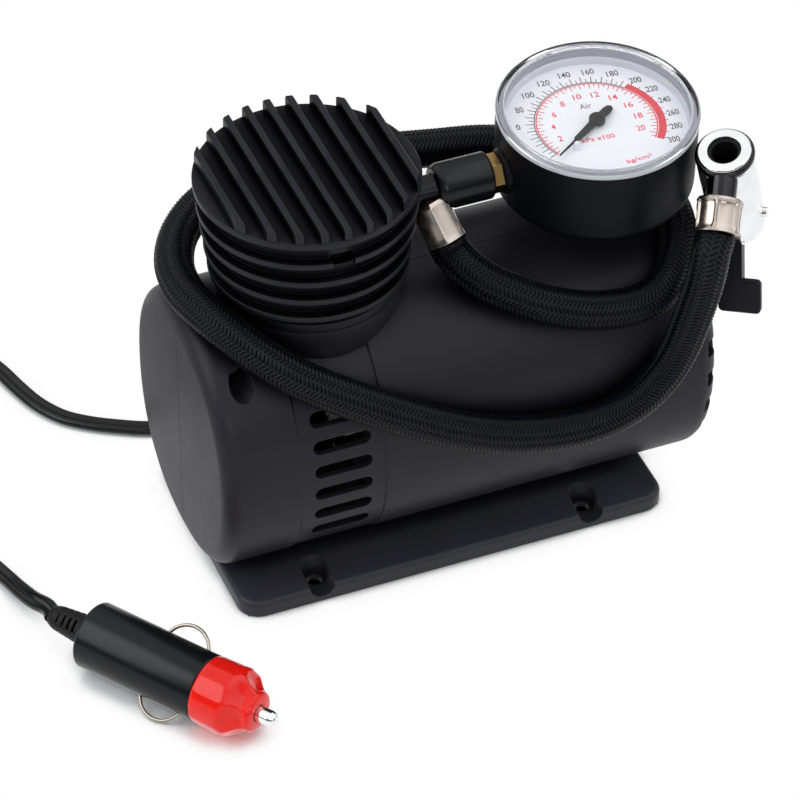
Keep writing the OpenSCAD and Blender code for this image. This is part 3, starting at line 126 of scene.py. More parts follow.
HOSE_D, HOSE_LENGTH = 11.8, 523
FERRULE_D = 13.6
CORD_W, CORD_T = 5.6, 2.9
COIL_CENTRE, COIL_R, COIL_COLUMNS, COIL_LAYERS = (-158, 88), 31, 3, 4
PLUG_POS, PLUG_TURN = (-117.6, -37.1, 10.5), math.radians(-55.6)
PLUG_R, PLUG_BODY, PLUG_BOOT, PLUG_BORE_R = 10.5, 42, 15, 7
SPRING_TURN, BOOT_TURN, NOSE_TURN = 40, -136, math.radians(10)
FUSE_COIL_BORE = 6.2
CHUCK_TOP = (88.3, -28.6, 127.3)
CHUCK_D, CHUCK_L, CHUCK_PIN_Z, CHUCK_PIN_D = 17.6, 38.5, -29.5, 3
LEVER_FOLD = 28
# From foot to end. The sleeves stand up to 2.2 mm off the source's, as in the photo.
TEE_FERRULE = ((4.6, -2.8, 112), (7.6, -9.2, 102.6))
TEE_SLEEVE = ((4.2, -2.0, 113.2), TEE_FERRULE[1])
CHUCK_SLEEVE = ((83.5, -37.65, 116.6), (79.2, -44.7, 109.6))


# ---- frames
def rotation(axis, degrees):
    return Matrix.Rotation(math.radians(degrees), 4, axis)


def shift(x=0, y=0, z=0):
    return Matrix.Translation((x, y, z))


def aim(start, end):
    """Frame at start whose +Z points to end."""
    v = Vector(end) - Vector(start)
    return Matrix.Translation(start) @ v.to_track_quat("Z", "Y").to_matrix().to_4x4()


def along_x(x, y, z):
    """Frame at a point whose +Z runs along the barrel."""
    return shift(x, y, z) @ rotation("Y", 90)


def along_y(x, y, z):
    """Frame at a point whose +Z points to +Y, and whose +Y points down."""
    return shift(x, y, z) @ rotation("X", -90)


COVER = shift(COVER_X)
GAUGE = shift(GAUGE_X, 0, LINE_Z) @ Matrix.Rotation(GAUGE_LEAN, 4, "X")
CHUCK = Matrix.Translation(CHUCK_TOP) @ rotation("Y", -14.5) @ rotation("X", 9.6) @ rotation("Z", -38)
CHUCK_PIN = CHUCK @ shift(z=CHUCK_PIN_Z) @ rotation("Y", 90)
LEVER = CHUCK @ shift(z=CHUCK_PIN_Z) @ rotation("X", -LEVER_FOLD)
PLUG = Matrix.Translation(PLUG_POS) @ Matrix.Rotation(PLUG_TURN, 4, "Z") @ rotation("Y", 90)


# ---- shapes
# A shape is (points, faces), in millimetres.
def placed(shape, at):
    points, faces = shape
    return [tuple(at @ Vector(p)) for p in points], faces


def joined(*shapes):
    points, faces = [], []
    for p, f in shapes:
        start = len(points)
        points.extend(p)
        faces.extend([tuple(i + start for i in face) for face in f])
    return points, faces


def arc_points(x, y, r, start, end, steps):
    """Points (x, y) along an arc from start to end degrees."""
    angles = [math.radians(start + (end - start) * k / steps) for k in range(steps + 1)]
    return [(x + r * math.cos(a), y + r * math.sin(a)) for a in angles]


def soften(line, radius, steps=2, closed=False):
    """The same polyline with each corner rounded."""
    n = len(line)
    out = []
    for i, p in enumerate(line):
        if not closed and i in (0, n - 1):
            out.append(tuple(p))
            continue
        a, b, c = (Vector(q) for q in (line[i - 1], p, line[(i + 1) % n]))
        reach = min(radius, 0.45 * (a - b).length, 0.45 * (c - b).length)
        if reach < 1e-4:
            out.append(tuple(p))
            continue
        p0, p2 = b + (a - b).normalized() * reach, b + (c - b).normalized() * reach
        for k in range(steps + 1):
            t = k / steps
            out.append(tuple(p0 * (1 - t) ** 2 + b * 2 * t * (1 - t) + p2 * t * t))
    return out


def soften_between(line, radius, steps):
    """Softens a lathe profile, and leaves its two ends on the axis alone."""
    return [line[0], *soften(line[1:-1], radius, steps), line[-1]]


def lathe(profile, sides=96, radius=None):
    """Turns (radius, height) points round +Z. The ends lie on the axis, or the
    profile closes on itself. radius(r, z, angle) may change a point's radius."""
    points, faces, rings = [], [], []
    for r, z in profile:
        if r < 1e-6:
            rings.append([len(points)])
            points.append((0, 0, z))
            continue
        rings.append(list(range(len(points), len(points) + sides)))
        for k in range(sides):
            a = 2 * math.pi * k / sides
            rr = radius(r, z, a) if radius else r
            points.append((rr * math.cos(a), rr * math.sin(a), z))
    pairs = list(zip(rings, rings[1:]))
    if len(rings[0]) > 1:
        pairs.append((rings[-1], rings[0]))
    for low, high in pairs:
        for k in range(sides):
            j = (k + 1) % sides
            if len(low) == 1 and len(high) > 1:
                faces.append((low[0], high[j], high[k]))
            elif len(high) == 1 and len(low) > 1:
                faces.append((low[k], low[j], high[0]))
            elif len(low) > 1:
                faces.append((low[k], low[j], high[j], high[k]))
    return points, faces


def loft(rings):
    """Skin over equal rings of points, closed at both ends."""
    m = len(rings[0])
    points = [tuple(p) for ring in rings for p in ring]
    faces = [tuple(range(m - 1, -1, -1)), tuple(range(len(points) - m, len(points)))]
    for i in range(len(rings) - 1):
        for k in range(m):
            j = (k + 1) % m
            faces.append((i * m + k, i * m + j, (i + 1) * m + j, (i + 1) * m + k))
    return points, faces


def block(lo, hi):
    x0, y0, z0 = lo
    x1, y1, z1 = hi
    return loft([[(x0, y0, z), (x1, y0, z), (x1, y1, z), (x0, y1, z)] for z in (z0, z1)])


def rod(d, z0, z1, sides=48):
    return lathe([(0, z0), (d / 2, z0), (d / 2, z1), (0, z1)], sides)


def rounded_rect(half_x, half_y, r, z, steps=8):
    ring = []
    for q, (sx, sy) in enumerate(((1, 1), (-1, 1), (-1, -1), (1, -1))):
        centre = sx * (half_x - r), sy * (half_y - r)
        ring += [(x, y, z) for x, y in arc_points(*centre, r, 90 * q, 90 * (q + 1), steps)]
    return ring


def prism(outline, z0, z1, chamfer):
    """Outline (counter-clockwise x, y) from z0 to z1, its rims chamfered."""
    n = len(outline)
    inner = []
    for i in range(n):
        a, b, c = (Vector(outline[j]) for j in (i - 1, i, (i + 1) % n))
        m = ((b - a).normalized() + (c - b).normalized()).normalized()
        inner.append(b + Vector((-m.y, m.x)) * chamfer)
    levels = ((inner, z0), (outline, z0 + chamfer), (outline, z1 - chamfer), (inner, z1))
    return loft([[(x, y, z) for x, y in line] for line, z in levels])


# ---- objects
def new_object(name, shape):
    points, faces = shape
    mesh = bpy.data.meshes.new(name)
    mesh.from_pydata([(x * MM, y * MM, z * MM) for x, y, z in points], [], faces)
    mesh.validate()
    obj = bpy.data.objects.new(name, mesh)
    bpy.context.scene.collection.objects.link(obj)
    return obj


def evaluated_mesh(obj):
    graph = bpy.context.evaluated_depsgraph_get()
    return bpy.data.meshes.new_from_object(obj.evaluated_get(graph))


def boolean(obj, shape, operation="DIFFERENCE"):
    cutter = new_object("cutter", shape)
    mod = obj.modifiers.new("cut", "BOOLEAN")
    mod.operation = operation
    mod.solver = "MANIFOLD"
    mod.object = cutter
    mesh = evaluated_mesh(obj)
    obj.modifiers.clear()
    obj.data = mesh
    bpy.data.objects.remove(cutter)


def drill(obj, at, d, z0, z1, sides=48, operation="DIFFERENCE"):
    """Cuts or adds a rod of diameter d, from z0 to z1 in the frame at."""
    boolean(obj, placed(rod(d, z0, z1, sides), at), operation)


def shape_of(obj):
    """Takes an object's mesh back as a shape, and removes the object."""
    points = [tuple(v.co / MM) for v in obj.data.vertices]
    faces = [tuple(f.vertices) for f in obj.data.polygons]
    bpy.data.objects.remove(obj)
    return points, faces


def carry(obj, at):
    """Moves a finished mesh into the frame where it belongs."""
    for v in obj.data.vertices:
        v.co = (at @ (v.co / MM)) * MM


def shade(mesh, material, sharp):
    """Smooth faces, except across edges sharper than so many degrees."""
    mesh.polygons.foreach_set("use_smooth", [True] * len(mesh.polygons))
    mesh.set_sharp_from_angle(angle=math.radians(sharp))
    mesh.materials.clear()
    mesh.materials.append(material)


def finish_piece(obj, material, slot, replaces=(), smooth=35, body="housing"):
    """Shades, paints and attaches a piece."""
    shade(obj.data, material, smooth)
    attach(obj, body)
    if replaces:
        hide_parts(*replaces)
    return obj


def piece(name, shape, *finish, **more):
    return finish_piece(new_object(name, shape), *finish, **more)


# ---- materials
class Tree:
    """Adds and links the nodes of a material or a world."""

    def __init__(self, owner):
        owner.use_nodes = True
        self.nodes, self.links = owner.node_tree.nodes, owner.node_tree.links

    def put(self, socket, value):
        """Links a socket to another one, or sets its value."""
        if isinstance(value, bpy.types.NodeSocket):
            self.links.new(value, socket)
        else:
            socket.default_value = value

    def node(self, kind, inputs=(), **settings):
        made = self.nodes.new("ShaderNode" + kind)
        for key, value in settings.items():
            setattr(made, key, value)
        for key, value in dict(inputs).items():
            self.put(made.inputs[key], value)
        return made

    def math(self, operation, *values):
        return self.node("Math", enumerate(values), operation=operation).outputs["Value"]

    def ranged(self, source, low=0, high=1, start=0.3, end=0.7):
        inputs = {"From Min": start, "From Max": end, "To Min": low, "To Max": high, "Value": source}
        return self.node("MapRange", inputs).outputs["Result"]

    def axes(self, space):
        """X, Y and Z of a texture coordinate."""
        place = self.node("TexCoord").outputs[space]
        return self.node("SeparateXYZ", {"Vector": place}).outputs


class Paint(Tree):
    """A node material around one Principled shader."""

    def __init__(self, name, color, roughness, sockets=()):
        self.material = bpy.data.materials.new(name)
        super().__init__(self.material)
        self.shader = self.nodes["Principled BSDF"].inputs
        values = {"Base Color": (*color, 1), "Roughness": roughness, **dict(sockets)}
        for key, value in values.items():
            self.shader[key].default_value = value
        self.color, self.roughness = color, roughness
        self.place = self.node("TexCoord").outputs["Object"]
        self.normal = None

    def noise(self, size_mm, detail=3, stretch=None):
        """Noise whose patches are about size_mm across."""
        place = self.place
        if stretch:
            place = self.node("Mapping", {"Scale": stretch, "Vector": place}).outputs["Vector"]
        inputs = {"Scale": 1 / (size_mm * MM), "Detail": detail, "Vector": place}
        return self.node("TexNoise", inputs).outputs["Fac"]

    def mix(self, factor, a, b, blend="MIX"):
        """Makes a mix of two colours the base colour."""
        inputs = {"Factor": factor, "A": a, "B": b}
        self.base = self.node("Mix", inputs, data_type="RGBA", blend_type=blend).outputs["Result"]
        self.put(self.shader["Base Color"], self.base)

    def mottle(self, size_mm, detail, dark, light):
        """Base colour in patches between two tints of itself."""
        tints = [(*[c * tint for c in self.color], 1) for tint in (dark, light)]
        self.mix(self.ranged(self.noise(size_mm, detail)), *tints)

    def rough(self, size_mm, detail, spread):
        low, high = self.roughness - spread, self.roughness + spread
        self.put(self.shader["Roughness"], self.ranged(self.noise(size_mm, detail), low, high))

    def set_normal(self, normal):
        self.normal = normal
        self.put(self.shader["Normal"], normal)

    def soft_edges(self, radius_mm):
        """Rounds sharp edges by shading, and keeps the rounded normal."""
        made = self.node("Bevel", {"Radius": radius_mm * MM}, samples=4)
        self.set_normal(made.outputs["Normal"])

    def edge_wear(self, tint):
        """Lightens the edges that soft_edges found."""
        flat = self.node("NewGeometry").outputs["Normal"]
        dot = self.node("VectorMath", {0: self.normal, 1: flat}, operation="DOT_PRODUCT")
        worn = self.ranged(dot.outputs["Value"], 1, 0, 0.8, 0.99)
        patchy = self.math("MULTIPLY", worn, self.ranged(self.noise(3), 0.2, 1))
        self.mix(patchy, self.base, (*tint, 1))

    def hollows(self, reach_mm, specular=None, shut=0.12, open_at=0.62):
        """Paints shade into slots and grooves: darkens them and dulls their shine."""
        near = self.node("AmbientOcclusion", {"Distance": reach_mm * MM}, samples=6)
        open_to = self.ranged(near.outputs["AO"], 0.08, 1, shut, open_at)
        self.mix(1, self.base, open_to, "MULTIPLY")
        if specular:
            self.put(self.shader["Specular IOR Level"], self.ranged(open_to, 0, specular, 0, 1))

    def bump(self, source, depth_mm, strength=1):
        inputs = {"Distance": depth_mm * MM, "Strength": strength, "Height": source}
        if self.normal:
            inputs["Normal"] = self.normal
        self.set_normal(self.node("Bump", inputs).outputs["Normal"])


def moulded(
    name, color, roughness, specular=0.4, grain_mm=0.35, depth_mm=0.012, edge=0.4,
    wear=None, shut=0.12, open_at=0.62,
):
    """Injection-moulded plastic with a fine satin grain, and painted shade in its hollows. shut and open_at
    are the parts of open sky at which the painted shade is darkest and at which it ends."""
    p = Paint(name, color, roughness)
    p.mottle(20, 3, 0.94, 1.06)
    p.rough(9, 3, 0.018)
    p.soft_edges(edge)
    if wear:
        p.edge_wear(wear)
    # Painted shade in hollows within 7 mm.
    if open_at:
        p.hollows(7, specular, shut, open_at)
    p.bump(p.noise(grain_mm, 2), depth_mm)
    return p.material


def metal(name, color, roughness, scratch_mm=1.5, depth_mm=0.002, edge=0.25, stretch=None, hollow=2.5):
    p = Paint(name, color, roughness, {"Metallic": 1})
    p.mottle(6, 4, 0.93, 1.05)
    p.rough(3, 5, min(0.05, roughness * 0.5))
    p.soft_edges(edge)
    # Painted shade in hollows within hollow mm.
    p.hollows(hollow)
    p.bump(p.noise(scratch_mm, 6, stretch), depth_mm)
    return p.material


def make_clear():
    sockets = {"IOR": 1.35, "Specular IOR Level": 0.3, "Transmission Weight": 1}
    p = Paint("clear_styrene", (1, 1, 1), 0.02, sockets)
    p.rough(20, 3, 0.01)
    return p.material


def make_frosted():
    """Milky edge of the clear cap; its white also paints a highlight line on the rim's inner edge."""
    p = Paint("clear_edge", (0.90, 0.92, 0.96), 0.12, {"IOR": 1.45, "Transmission Weight": 0.5})
    p.rough(4, 3, 0.06)
    p.bump(p.noise(3), 0.02)
    return p.material


def make_dial():
    p = Paint("dial_enamel", (0.93, 0.94, 1.0), 0.38)
    p.mottle(12, 3, 0.985, 1.0)
    p.bump(p.noise(0.5, 2), 0.002)
    return p.material


def make_ink(name, color):
    p = Paint(name, color, 0.5)
    p.mottle(0.6, 3, 0.9, 1.2)
    return p.material


def make_red():
    p = Paint("red_moulding", (1.0, 0.014, 0.008), 0.12, {
        "Specular IOR Level": 0.36, "Subsurface Weight": 0.2,
        "Subsurface Radius": (0.006, 0.0008, 0.0004), "Subsurface Scale": 1,
    })
    p.mottle(5, 3, 0.92, 1.05)
    p.soft_edges(0.4)
    p.bump(p.noise(2, 2), 0.008)
    return p.material


def make_cord():
    """Extruded jacket: smooth along its length, faintly drawn."""
    p = Paint("cord_jacket", (0.004, 0.0043, 0.0052), 0.26, {"Specular IOR Level": 0.3})
    p.mottle(9, 3, 0.85, 1.2)
    p.rough(2, 4, 0.05)
    p.bump(p.noise(0.5, 2), 0.004)
    return p.material


def make_braid(yarns=5):
    """Each strand of the sleeve is a bundle of fine yarns that run along it."""
    p = Paint("hose_braid", (0.0009, 0.0013, 0.0034), 0.33, {"Sheen Weight": 0.004, "Sheen Roughness": 0.4})
    across = p.node("Attribute", attribute_name="across").outputs["Fac"]
    wave = p.math("SINE", p.math("MULTIPLY", across, 2 * math.pi * yarns))
    p.mottle(1.6, 4, 0.4, 2.0)
    # Painted shade in the gaps between strands.
    p.hollows(1.2, 0.25, 0.4, 0.86)
    p.rough(1.2, 3, 0.08)
    p.bump(wave, 0.07, 0.6)
    p.bump(p.noise(0.25), 0.05, 0.5)
    return p.material


# The moulded plastics paint shade into their hollows; shut and open_at set how dark it gets and how far it
# reaches.
shell_black = moulded(
    "shell_plastic", (0.0150, 0.0148, 0.0215), 0.44, specular=0.215,
    wear=(0.031, 0.031, 0.039), shut=0.25, open_at=0.72,
)
# The base plate is the shell's plastic painted lighter, to lift it out of the housing's shadow.
base_black_painted_lighter = moulded(
    "base_plastic_painted_lighter", (0.030, 0.0305, 0.040), 0.42, specular=0.26, wear=(0.05, 0.051, 0.06)
)
cover_black = moulded(
    "cover_plastic", (0.0125, 0.0128, 0.0172), 0.40, specular=0.22, edge=0.3,
    wear=(0.055, 0.055, 0.062), shut=0.45, open_at=0.97,
)
case_black = moulded("case_plastic", (0.0032, 0.0038, 0.0058), 0.42, specular=0.105, edge=0.5)
gloss_black = moulded(
    "gloss_plastic", (0.0040, 0.0046, 0.0062), 0.26, specular=0.27, depth_mm=0.004, edge=0.3
)
lever_black = moulded("lever_plastic", (0.0062, 0.0064, 0.0088), 0.36, specular=0.18)
rubber = moulded("soft_rubber", (0.007, 0.007, 0.0078), 0.5, specular=0.2, edge=0.3)
nylon = moulded("white_nylon", (0.85, 0.84, 0.80), 0.45)
ferrite = moulded("ferrite_block", (0.05, 0.05, 0.055), 0.7, grain_mm=0.6, depth_mm=0.03)
leather = moulded("oiled_leather", (0.30, 0.19, 0.11), 0.6, grain_mm=0.8, depth_mm=0.06)
chrome = metal("chrome_plate", (0.90, 0.905, 0.92), 0.05, edge=0.35, hollow=5)
nickel = metal("nickel_plate", (0.49, 0.43, 0.385), 0.25, edge=0.3)
wire = metal("spring_wire", (0.36, 0.32, 0.27), 0.2)
# Chrome painted near black: a painted dark reflection on the chuck's neck and collar band.
painted_dark_reflection_chrome = metal("chrome_painted_dark_reflection", (0.035, 0.034, 0.036), 0.12, edge=0.35)
steel = metal("zinc_steel", (0.60, 0.61, 0.63), 0.32, stretch=(1, 1, 8))
cast = metal("cast_alloy", (0.62, 0.63, 0.64), 0.48, 0.6, 0.02)
# Its painted hollow shade reaches 14 mm and darkens the brass seen through the housing's slots.
brass = metal("turned_brass", (0.52, 0.35, 0.13), 0.24, stretch=(1, 6, 1), hollow=14)
copper = metal("wound_copper", (0.75, 0.36, 0.18), 0.35, 0.5, 0.03, stretch=(8, 1, 1))
lamination = metal("stacked_sheet", (0.42, 0.43, 0.45), 0.45, 0.5, 0.03, stretch=(10, 1, 1))
clear = make_clear()
frost_and_highlight = make_frosted()
ring_grey = moulded("grey_ring", (0.34, 0.36, 0.41), 0.35, edge=0.05, open_at=None)
ring_pale = moulded("pale_ring", (0.66, 0.68, 0.74), 0.35, edge=0.05, open_at=None)
dial_white = make_dial()
ink_black = make_ink("black_ink", (0.02, 0.02, 0.025))
ink_red = make_ink("red_ink", (0.75, 0.03, 0.05))
plug_red = make_red()
cord_jacket = make_cord()
braid = make_braid()

SLOT_PAINT = {
    "shell": shell_black, "gloss_black": gloss_black, "rubber": rubber, "cord_jacket": cord_jacket,
    "braid": braid, "chrome": chrome, "nickel": nickel, "steel": steel, "cast": cast, "brass": brass,
    "copper": copper, "ferrite": ferrite, "lamination": lamination, "nylon": nylon,
    "dial_white": dial_white, "clear": clear, "plug_red": plug_red, "leather": leather,
    "glass_tube": make_clear(),
}
for part in frame["record"]["subparts"]:
    is_wire = "plug_spring" in part["node"]
    shade(nodes[part["node"]].data, wire if is_wire else SLOT_PAINT[part["material_slot"]], 32)


# ---- routes
def spline(points, parts):
    """Smooth curve through given points, as the part's source has it."""
    p = [Vector(q) for q in points]
    out = []
    for i in range(len(p) - 1):
        a, b, c, d = p[max(i - 1, 0)], p[i], p[i + 1], p[min(i + 2, len(p) - 1)]
        for k in range(parts):
            t = k / parts
            square, cube = 2 * a - 5 * b + 4 * c - d, 3 * b - a - 3 * c + d
            out.append(0.5 * (2 * b + (c - a) * t + square * t**2 + cube * t**3))
    return np.array([*out, p[-1]])


def resample(path, step):
    lengths = np.concatenate([[0], np.cumsum(np.linalg.norm(np.diff(path, axis=0), axis=1))])
    at = np.linspace(0, lengths[-1], int(lengths[-1] / step) + 1)
    return np.stack([np.interp(at, lengths, path[:, k]) for k in range(3)], 1), lengths[-1]


def unit_rows(v):
    return v / np.linalg.norm(v, axis=1, keepdims=True)


def carried_frames(path):
    """Two normals at each point, which turn as little as they can on the way."""
    tangent = unit_rows(np.gradient(path, axis=0))
    normal = [np.cross(tangent[0], (0, 0, 1))]
    for t in tangent[1:]:
        normal.append(normal[-1] - t * np.dot(normal[-1], t))
    normal = unit_rows(np.array(normal))
    return normal, np.cross(tangent, normal)


def grid_faces(rings, sides, start=0, closed=True):
    columns = np.arange(sides if closed else sides - 1)
    i, k = np.meshgrid(np.arange(rings - 1), columns, indexing="ij")
    a, b = i * sides + k, i * sides + (k + 1) % sides
    return (np.stack([a, b, b + sides, a + sides], -1).reshape(-1, 4) + start).tolist()


# ---- power cord
lead_points = [
    (10, 54.5, 21), (9, 60, 20), (6, 66, 16), (0, 69.5, 10.6), (-8, 70, 5.6), (-17, 67.5, 2.6),
    (-27, 63, 1.45), (-38, 57.5, 1.45), (-49, 53.4, 1.45), (-59, 52.4, 1.45), (-68, 54.8, 1.45),
    (-76, 58.9, 1.45), (-84, 63.9, 1.45), (-91, 70.1, 1.45), (-96.2, 78.8, 1.45), (-99.6, 89, 1.45),
    (-102.4, 99.4, 1.45), (-106.6, 109, 1.45), (-114, 117, 1.45), (-124, 121.6, 1.45),
    (-136, 123.6, 1.45), (-148, 124.4, 1.45),
]
tail_points = [
    (-186, 61, 9.4), (-177, 53, 7), (-168, 45.4, 4.4), (-158, 38, 2.4), (-148.6, 31.6, 1.45),
    (-140.6, 24.4, 1.45), (-134.8, 16, 1.45), (-131.4, 6, 1.85), (-129.8, -3, 3.85),
    (-128, -11.5, 6), (-125.9, -19.4, 9), tuple(PLUG @ Vector((0, 0, -PLUG_BOOT))),
]
CORD_LIES_AT = CORD_T / 2
COIL_CROSSOVER = 0.82     # of a turn, after which the lead moves to its next place
CORD_ROLL_RISE = 7.5      # over which the ribbon turns on its edge
CORD_ROLLED_UP = np.array((-0.3, -0.8, 0.6))


def coil_route():
    """Turns wound inwards and outwards by layers, from the lead to the tail."""
    start, end = (
        math.atan2(p[1] - COIL_CENTRE[1], p[0] - COIL_CENTRE[0]) for p in (lead_points[-1], tail_points[0])
    )
    places = COIL_COLUMNS * COIL_LAYERS
    turns = places - 1 + ((end - start) / (2 * math.pi)) % 1
    column_pitch, layer_pitch = CORD_W + 0.2, CORD_T + 0.1
    outer = COIL_R + column_pitch * (COIL_COLUMNS - 1) / 2

    def place(k):
        layer, column = divmod(k, COIL_COLUMNS)
        if layer % 2:
            column = COIL_COLUMNS - 1 - column
        return outer - column * column_pitch, CORD_T / 2 + layer * layer_pitch

    steps = int(turns * 60)
    points = []
    for i in range(1, steps):
        t = turns * i / steps
        k = int(t)
        (r0, z0), (r1, z1) = place(k), place(min(k + 1, places - 1))
        s = min(max((t - k - COIL_CROSSOVER) / (1 - COIL_CROSSOVER), 0), 1)
        s = s * s * (3 - 2 * s)
        r, z = r0 + (r1 - r0) * s, z0 + (z1 - z0) * s
        a = start + 2 * math.pi * t
        points.append((COIL_CENTRE[0] + r * math.cos(a), COIL_CENTRE[1] + r * math.sin(a), z))
    return points


def cord_section(steps=9, open_to=142):
    """Two round cores side by side in one jacket."""
    core, centre = CORD_T / 2, CORD_W / 2 - CORD_T / 2
    return [
        *arc_points(centre, 0, core, -open_to, open_to, steps),
        *arc_points(-centre, 0, core, 180 - open_to, 180 + open_to, steps),
    ]


def ribbon(path, section, up):
    """Sweeps a section along a path; its width stays square to up."""
    tangent = unit_rows(np.gradient(path, axis=0))
    side = unit_rows(np.cross(tangent, up))
    rise = np.cross(side, tangent)
    return loft([[tuple(p + s * x + u * y) for x, y in section] for p, s, u in zip(path, side, rise)])


lead_path, _ = resample(spline(lead_points, 6), 2.5)
tail_path, _ = resample(spline(tail_points, 6), 2.5)
cord_path = np.concatenate([lead_path, np.array(coil_route()), tail_path])
# The ribbon rolls a little as it climbs to the plug.
climb = -len(tail_path) // 3
roll = np.zeros((len(cord_path), 1))
roll[climb:, 0] = np.clip((cord_path[climb:, 2] - CORD_LIES_AT) / CORD_ROLL_RISE, 0, 1)
cord_up = np.array((0, 0, 1)) * (1 - roll) + CORD_ROLLED_UP * roll
power_cord = piece(
    "power_cord", ribbon(cord_path, cord_section(), cord_up), cord_jacket, "cord_jacket",
    ("cord_lead", "cord_coil", "cord_tail"), smooth=50,
)

# ---- hose
hose_points = [
    (7.6, -9.2, 102.6), (8.6, -11.4, 99.4), (11.3, -16.6, 96.6), (16, -22, 93.6), (22, -26.5, 91.1),
    (30, -31, 88.1), (39, -34, 85.4), (48, -35.7, 83.7), (57, -36.2, 83), (65, -35.2, 84.3),
    (71.2, -31.9, 87.4), (75.4, -27, 91), (78.4, -20.2, 94.2), (79.6, -12, 96.3),
    (79, -2, 97.3), (76, 8, 97.2), (70, 17, 96.6), (61, 25, 96.4), (50, 31, 97.2),
    (37, 35, 98.8), (22, 37.2, 100), (6, 39.6, 101.2), (-10, 42, 102), (-26, 43.2, 102),
    (-41, 41.8, 101.4), (-54, 36.5, 100.4), (-64, 27.4, 99), (-69.6, 16, 98), (-70.8, 4, 97.6),
    (-68.8, -6, 97.2), (-64.6, -16, 95.4), (-57.6, -26, 91.2), (-48.6, -33.4, 85.6),
    (-36, -39.2, 78.9), (-22, -43.2, 71.2), (-8, -45.8, 63.8), (5, -47, 57.8), (18, -47.4, 53.6),
    (30, -47.4, 51.4), (40, -47.4, 51.2), (49, -47.2, 53), (57, -47, 57.2), (63.7, -46.8, 63.9),
    (68, -47, 72.2), (70.6, -47.5, 80.6), (72.5, -48, 88.3), (73.9, -48.5, 94.9),
    (75.1, -48.5, 101.2), (76.6, -47.2, 106.3), (79.2, -44.7, 109.8),
]
CORE_R, CORE_STEP, CORE_SIDES = HOSE_D / 2 - 0.42, 1.5, 36
STRANDS = 14          # each way round
STRAND_LEAD = 17.5    # of one full turn
STRAND_W, STRAND_STEP = 1.14, 0.5
STRAND_R, STRAND_LIFT = HOSE_D / 2 - 0.25, 0.23
STRAND_ROW = np.array([-0.5, -0.34, 0, 0.34, 0.5])      # across, in parts of its width
STRAND_CROWN = np.array([0, 0, 0.19, 0, 0])
STRAND_TUCKED = np.array([True, False, False, False, True])
TUCK_DEPTH = 0.08     # below the core's surface


def braided_hose(path):
    """A core tube under strands that pass over two and under two."""
    dense, length = resample(path, STRAND_STEP)
    normal, binormal = carried_frames(dense)
    station = np.linspace(0, length, len(dense))

    def at(s, angle, radius):
        s = np.clip(s, 0, length)
        p, n, b = (
            np.stack([np.interp(s, station, v[:, k]) for k in range(3)], -1)
            for v in (dense, normal, binormal)
        )
        return p + radius[..., None] * (np.cos(angle)[..., None] * n + np.sin(angle)[..., None] * b)

    s = np.linspace(0, length, int(length / CORE_STEP))
    ss, aa = np.meshgrid(s, 2 * np.pi * np.arange(CORE_SIDES) / CORE_SIDES, indexing="ij")
    points = [at(ss, aa, np.full(ss.shape, CORE_R)).reshape(-1, 3)]
    across = [np.zeros(ss.size)]
    start = len(points[0])
    faces = grid_faces(len(s), CORE_SIDES)
    faces += [tuple(range(CORE_SIDES - 1, -1, -1)), tuple(range(start - CORE_SIDES, start))]

    lean = math.atan(2 * math.pi * STRAND_R / STRAND_LEAD)
    s = np.arange(0, length, STRAND_STEP)
    t = STRAND_ROW * STRAND_W
    for way in (1, -1):
        for j in range(STRANDS):
            crossings = 2 * STRANDS * s / STRAND_LEAD
            phase = (2 * j + way * crossings) / 4
            lift = way * STRAND_LIFT * np.cos(2 * np.pi * (phase - 0.125))
            turn = 2 * np.pi * (j / STRANDS + way * s / STRAND_LEAD)
            ss = s[:, None] - way * math.sin(lean) * t[None, :]
            aa = turn[:, None] + math.cos(lean) * t[None, :] / STRAND_R
            radius = np.where(STRAND_TUCKED, CORE_R - TUCK_DEPTH, STRAND_R + lift[:, None] + STRAND_CROWN)
            points.append(at(ss, aa, radius).reshape(-1, 3))
            across.append(np.tile(STRAND_ROW, len(s)))
            faces += grid_faces(len(s), len(STRAND_ROW), start, closed=False)
            start += len(points[-1])
    return np.concatenate(points), faces, np.concatenate(across)


hose_line = spline(hose_points, 8)
points, faces, across = braided_hose(hose_line)
hose = new_object("hose_sleeve", (points.tolist(), faces))
hose.data.attributes.new("across", "FLOAT", "POINT").data.foreach_set("value", across.astype(np.float32))
finish_piece(hose, braid, "braid", ("hose",), smooth=70)


# ---- base plate
def base_ring(inset, z):
    corner = max(BASE_CORNER - inset * 0.42, 1.6)
    return rounded_rect(BASE_L / 2 - inset, BASE_W / 2 - inset, corner, z)


# (inset, height) up the border: foot, lip, slope, top.
border = [(0.3, 0), (0, 0.5), (0, BASE_LIP), (BASE_SLOPE, BASE_H), (BASE_SLOPE + 6, BASE_H)]
base = new_object("base_plate_body", loft([base_ring(i, z) for i, z in soften(border, 1.5, 5)]))

# The hollow underside, less its ribs, mount pads and screw pads.
PLATE_CUT = (-3, 9)
pocket_half = BASE_L / 2 - BASE_WALL, BASE_W / 2 - BASE_WALL
pocket_rings = [rounded_rect(*pocket_half, BASE_CORNER - BASE_WALL, z) for z in (-1, BASE_LIP - BASE_WALL)]
pocket = new_object("pocket", loft(pocket_rings))


def keep_in_pocket(x0, x1, y0, y1):
    boolean(pocket, block((x0, y0, PLATE_CUT[0]), (x1, y1, PLATE_CUT[1])))


for x in (-BASE_L / 6, 0, BASE_L / 6):
    keep_in_pocket(x - BASE_RIB / 2, x + BASE_RIB / 2, -BASE_W, BASE_W)
keep_in_pocket(-BASE_L, BASE_L, -BASE_RIB / 2, BASE_RIB / 2)
for x, y, outwards in MOUNTS:
    drill(pocket, shift(x, y), MOUNT_PAD, *PLATE_CUT)
    keep_in_pocket(x - MOUNT_PAD / 2, x + MOUNT_PAD / 2, *sorted((y, y + outwards * 9)))
for x, y in BASE_SCREWS:
    drill(pocket, shift(x, y), BASE_SCREW_PAD, *PLATE_CUT)
boolean(base, shape_of(pocket))

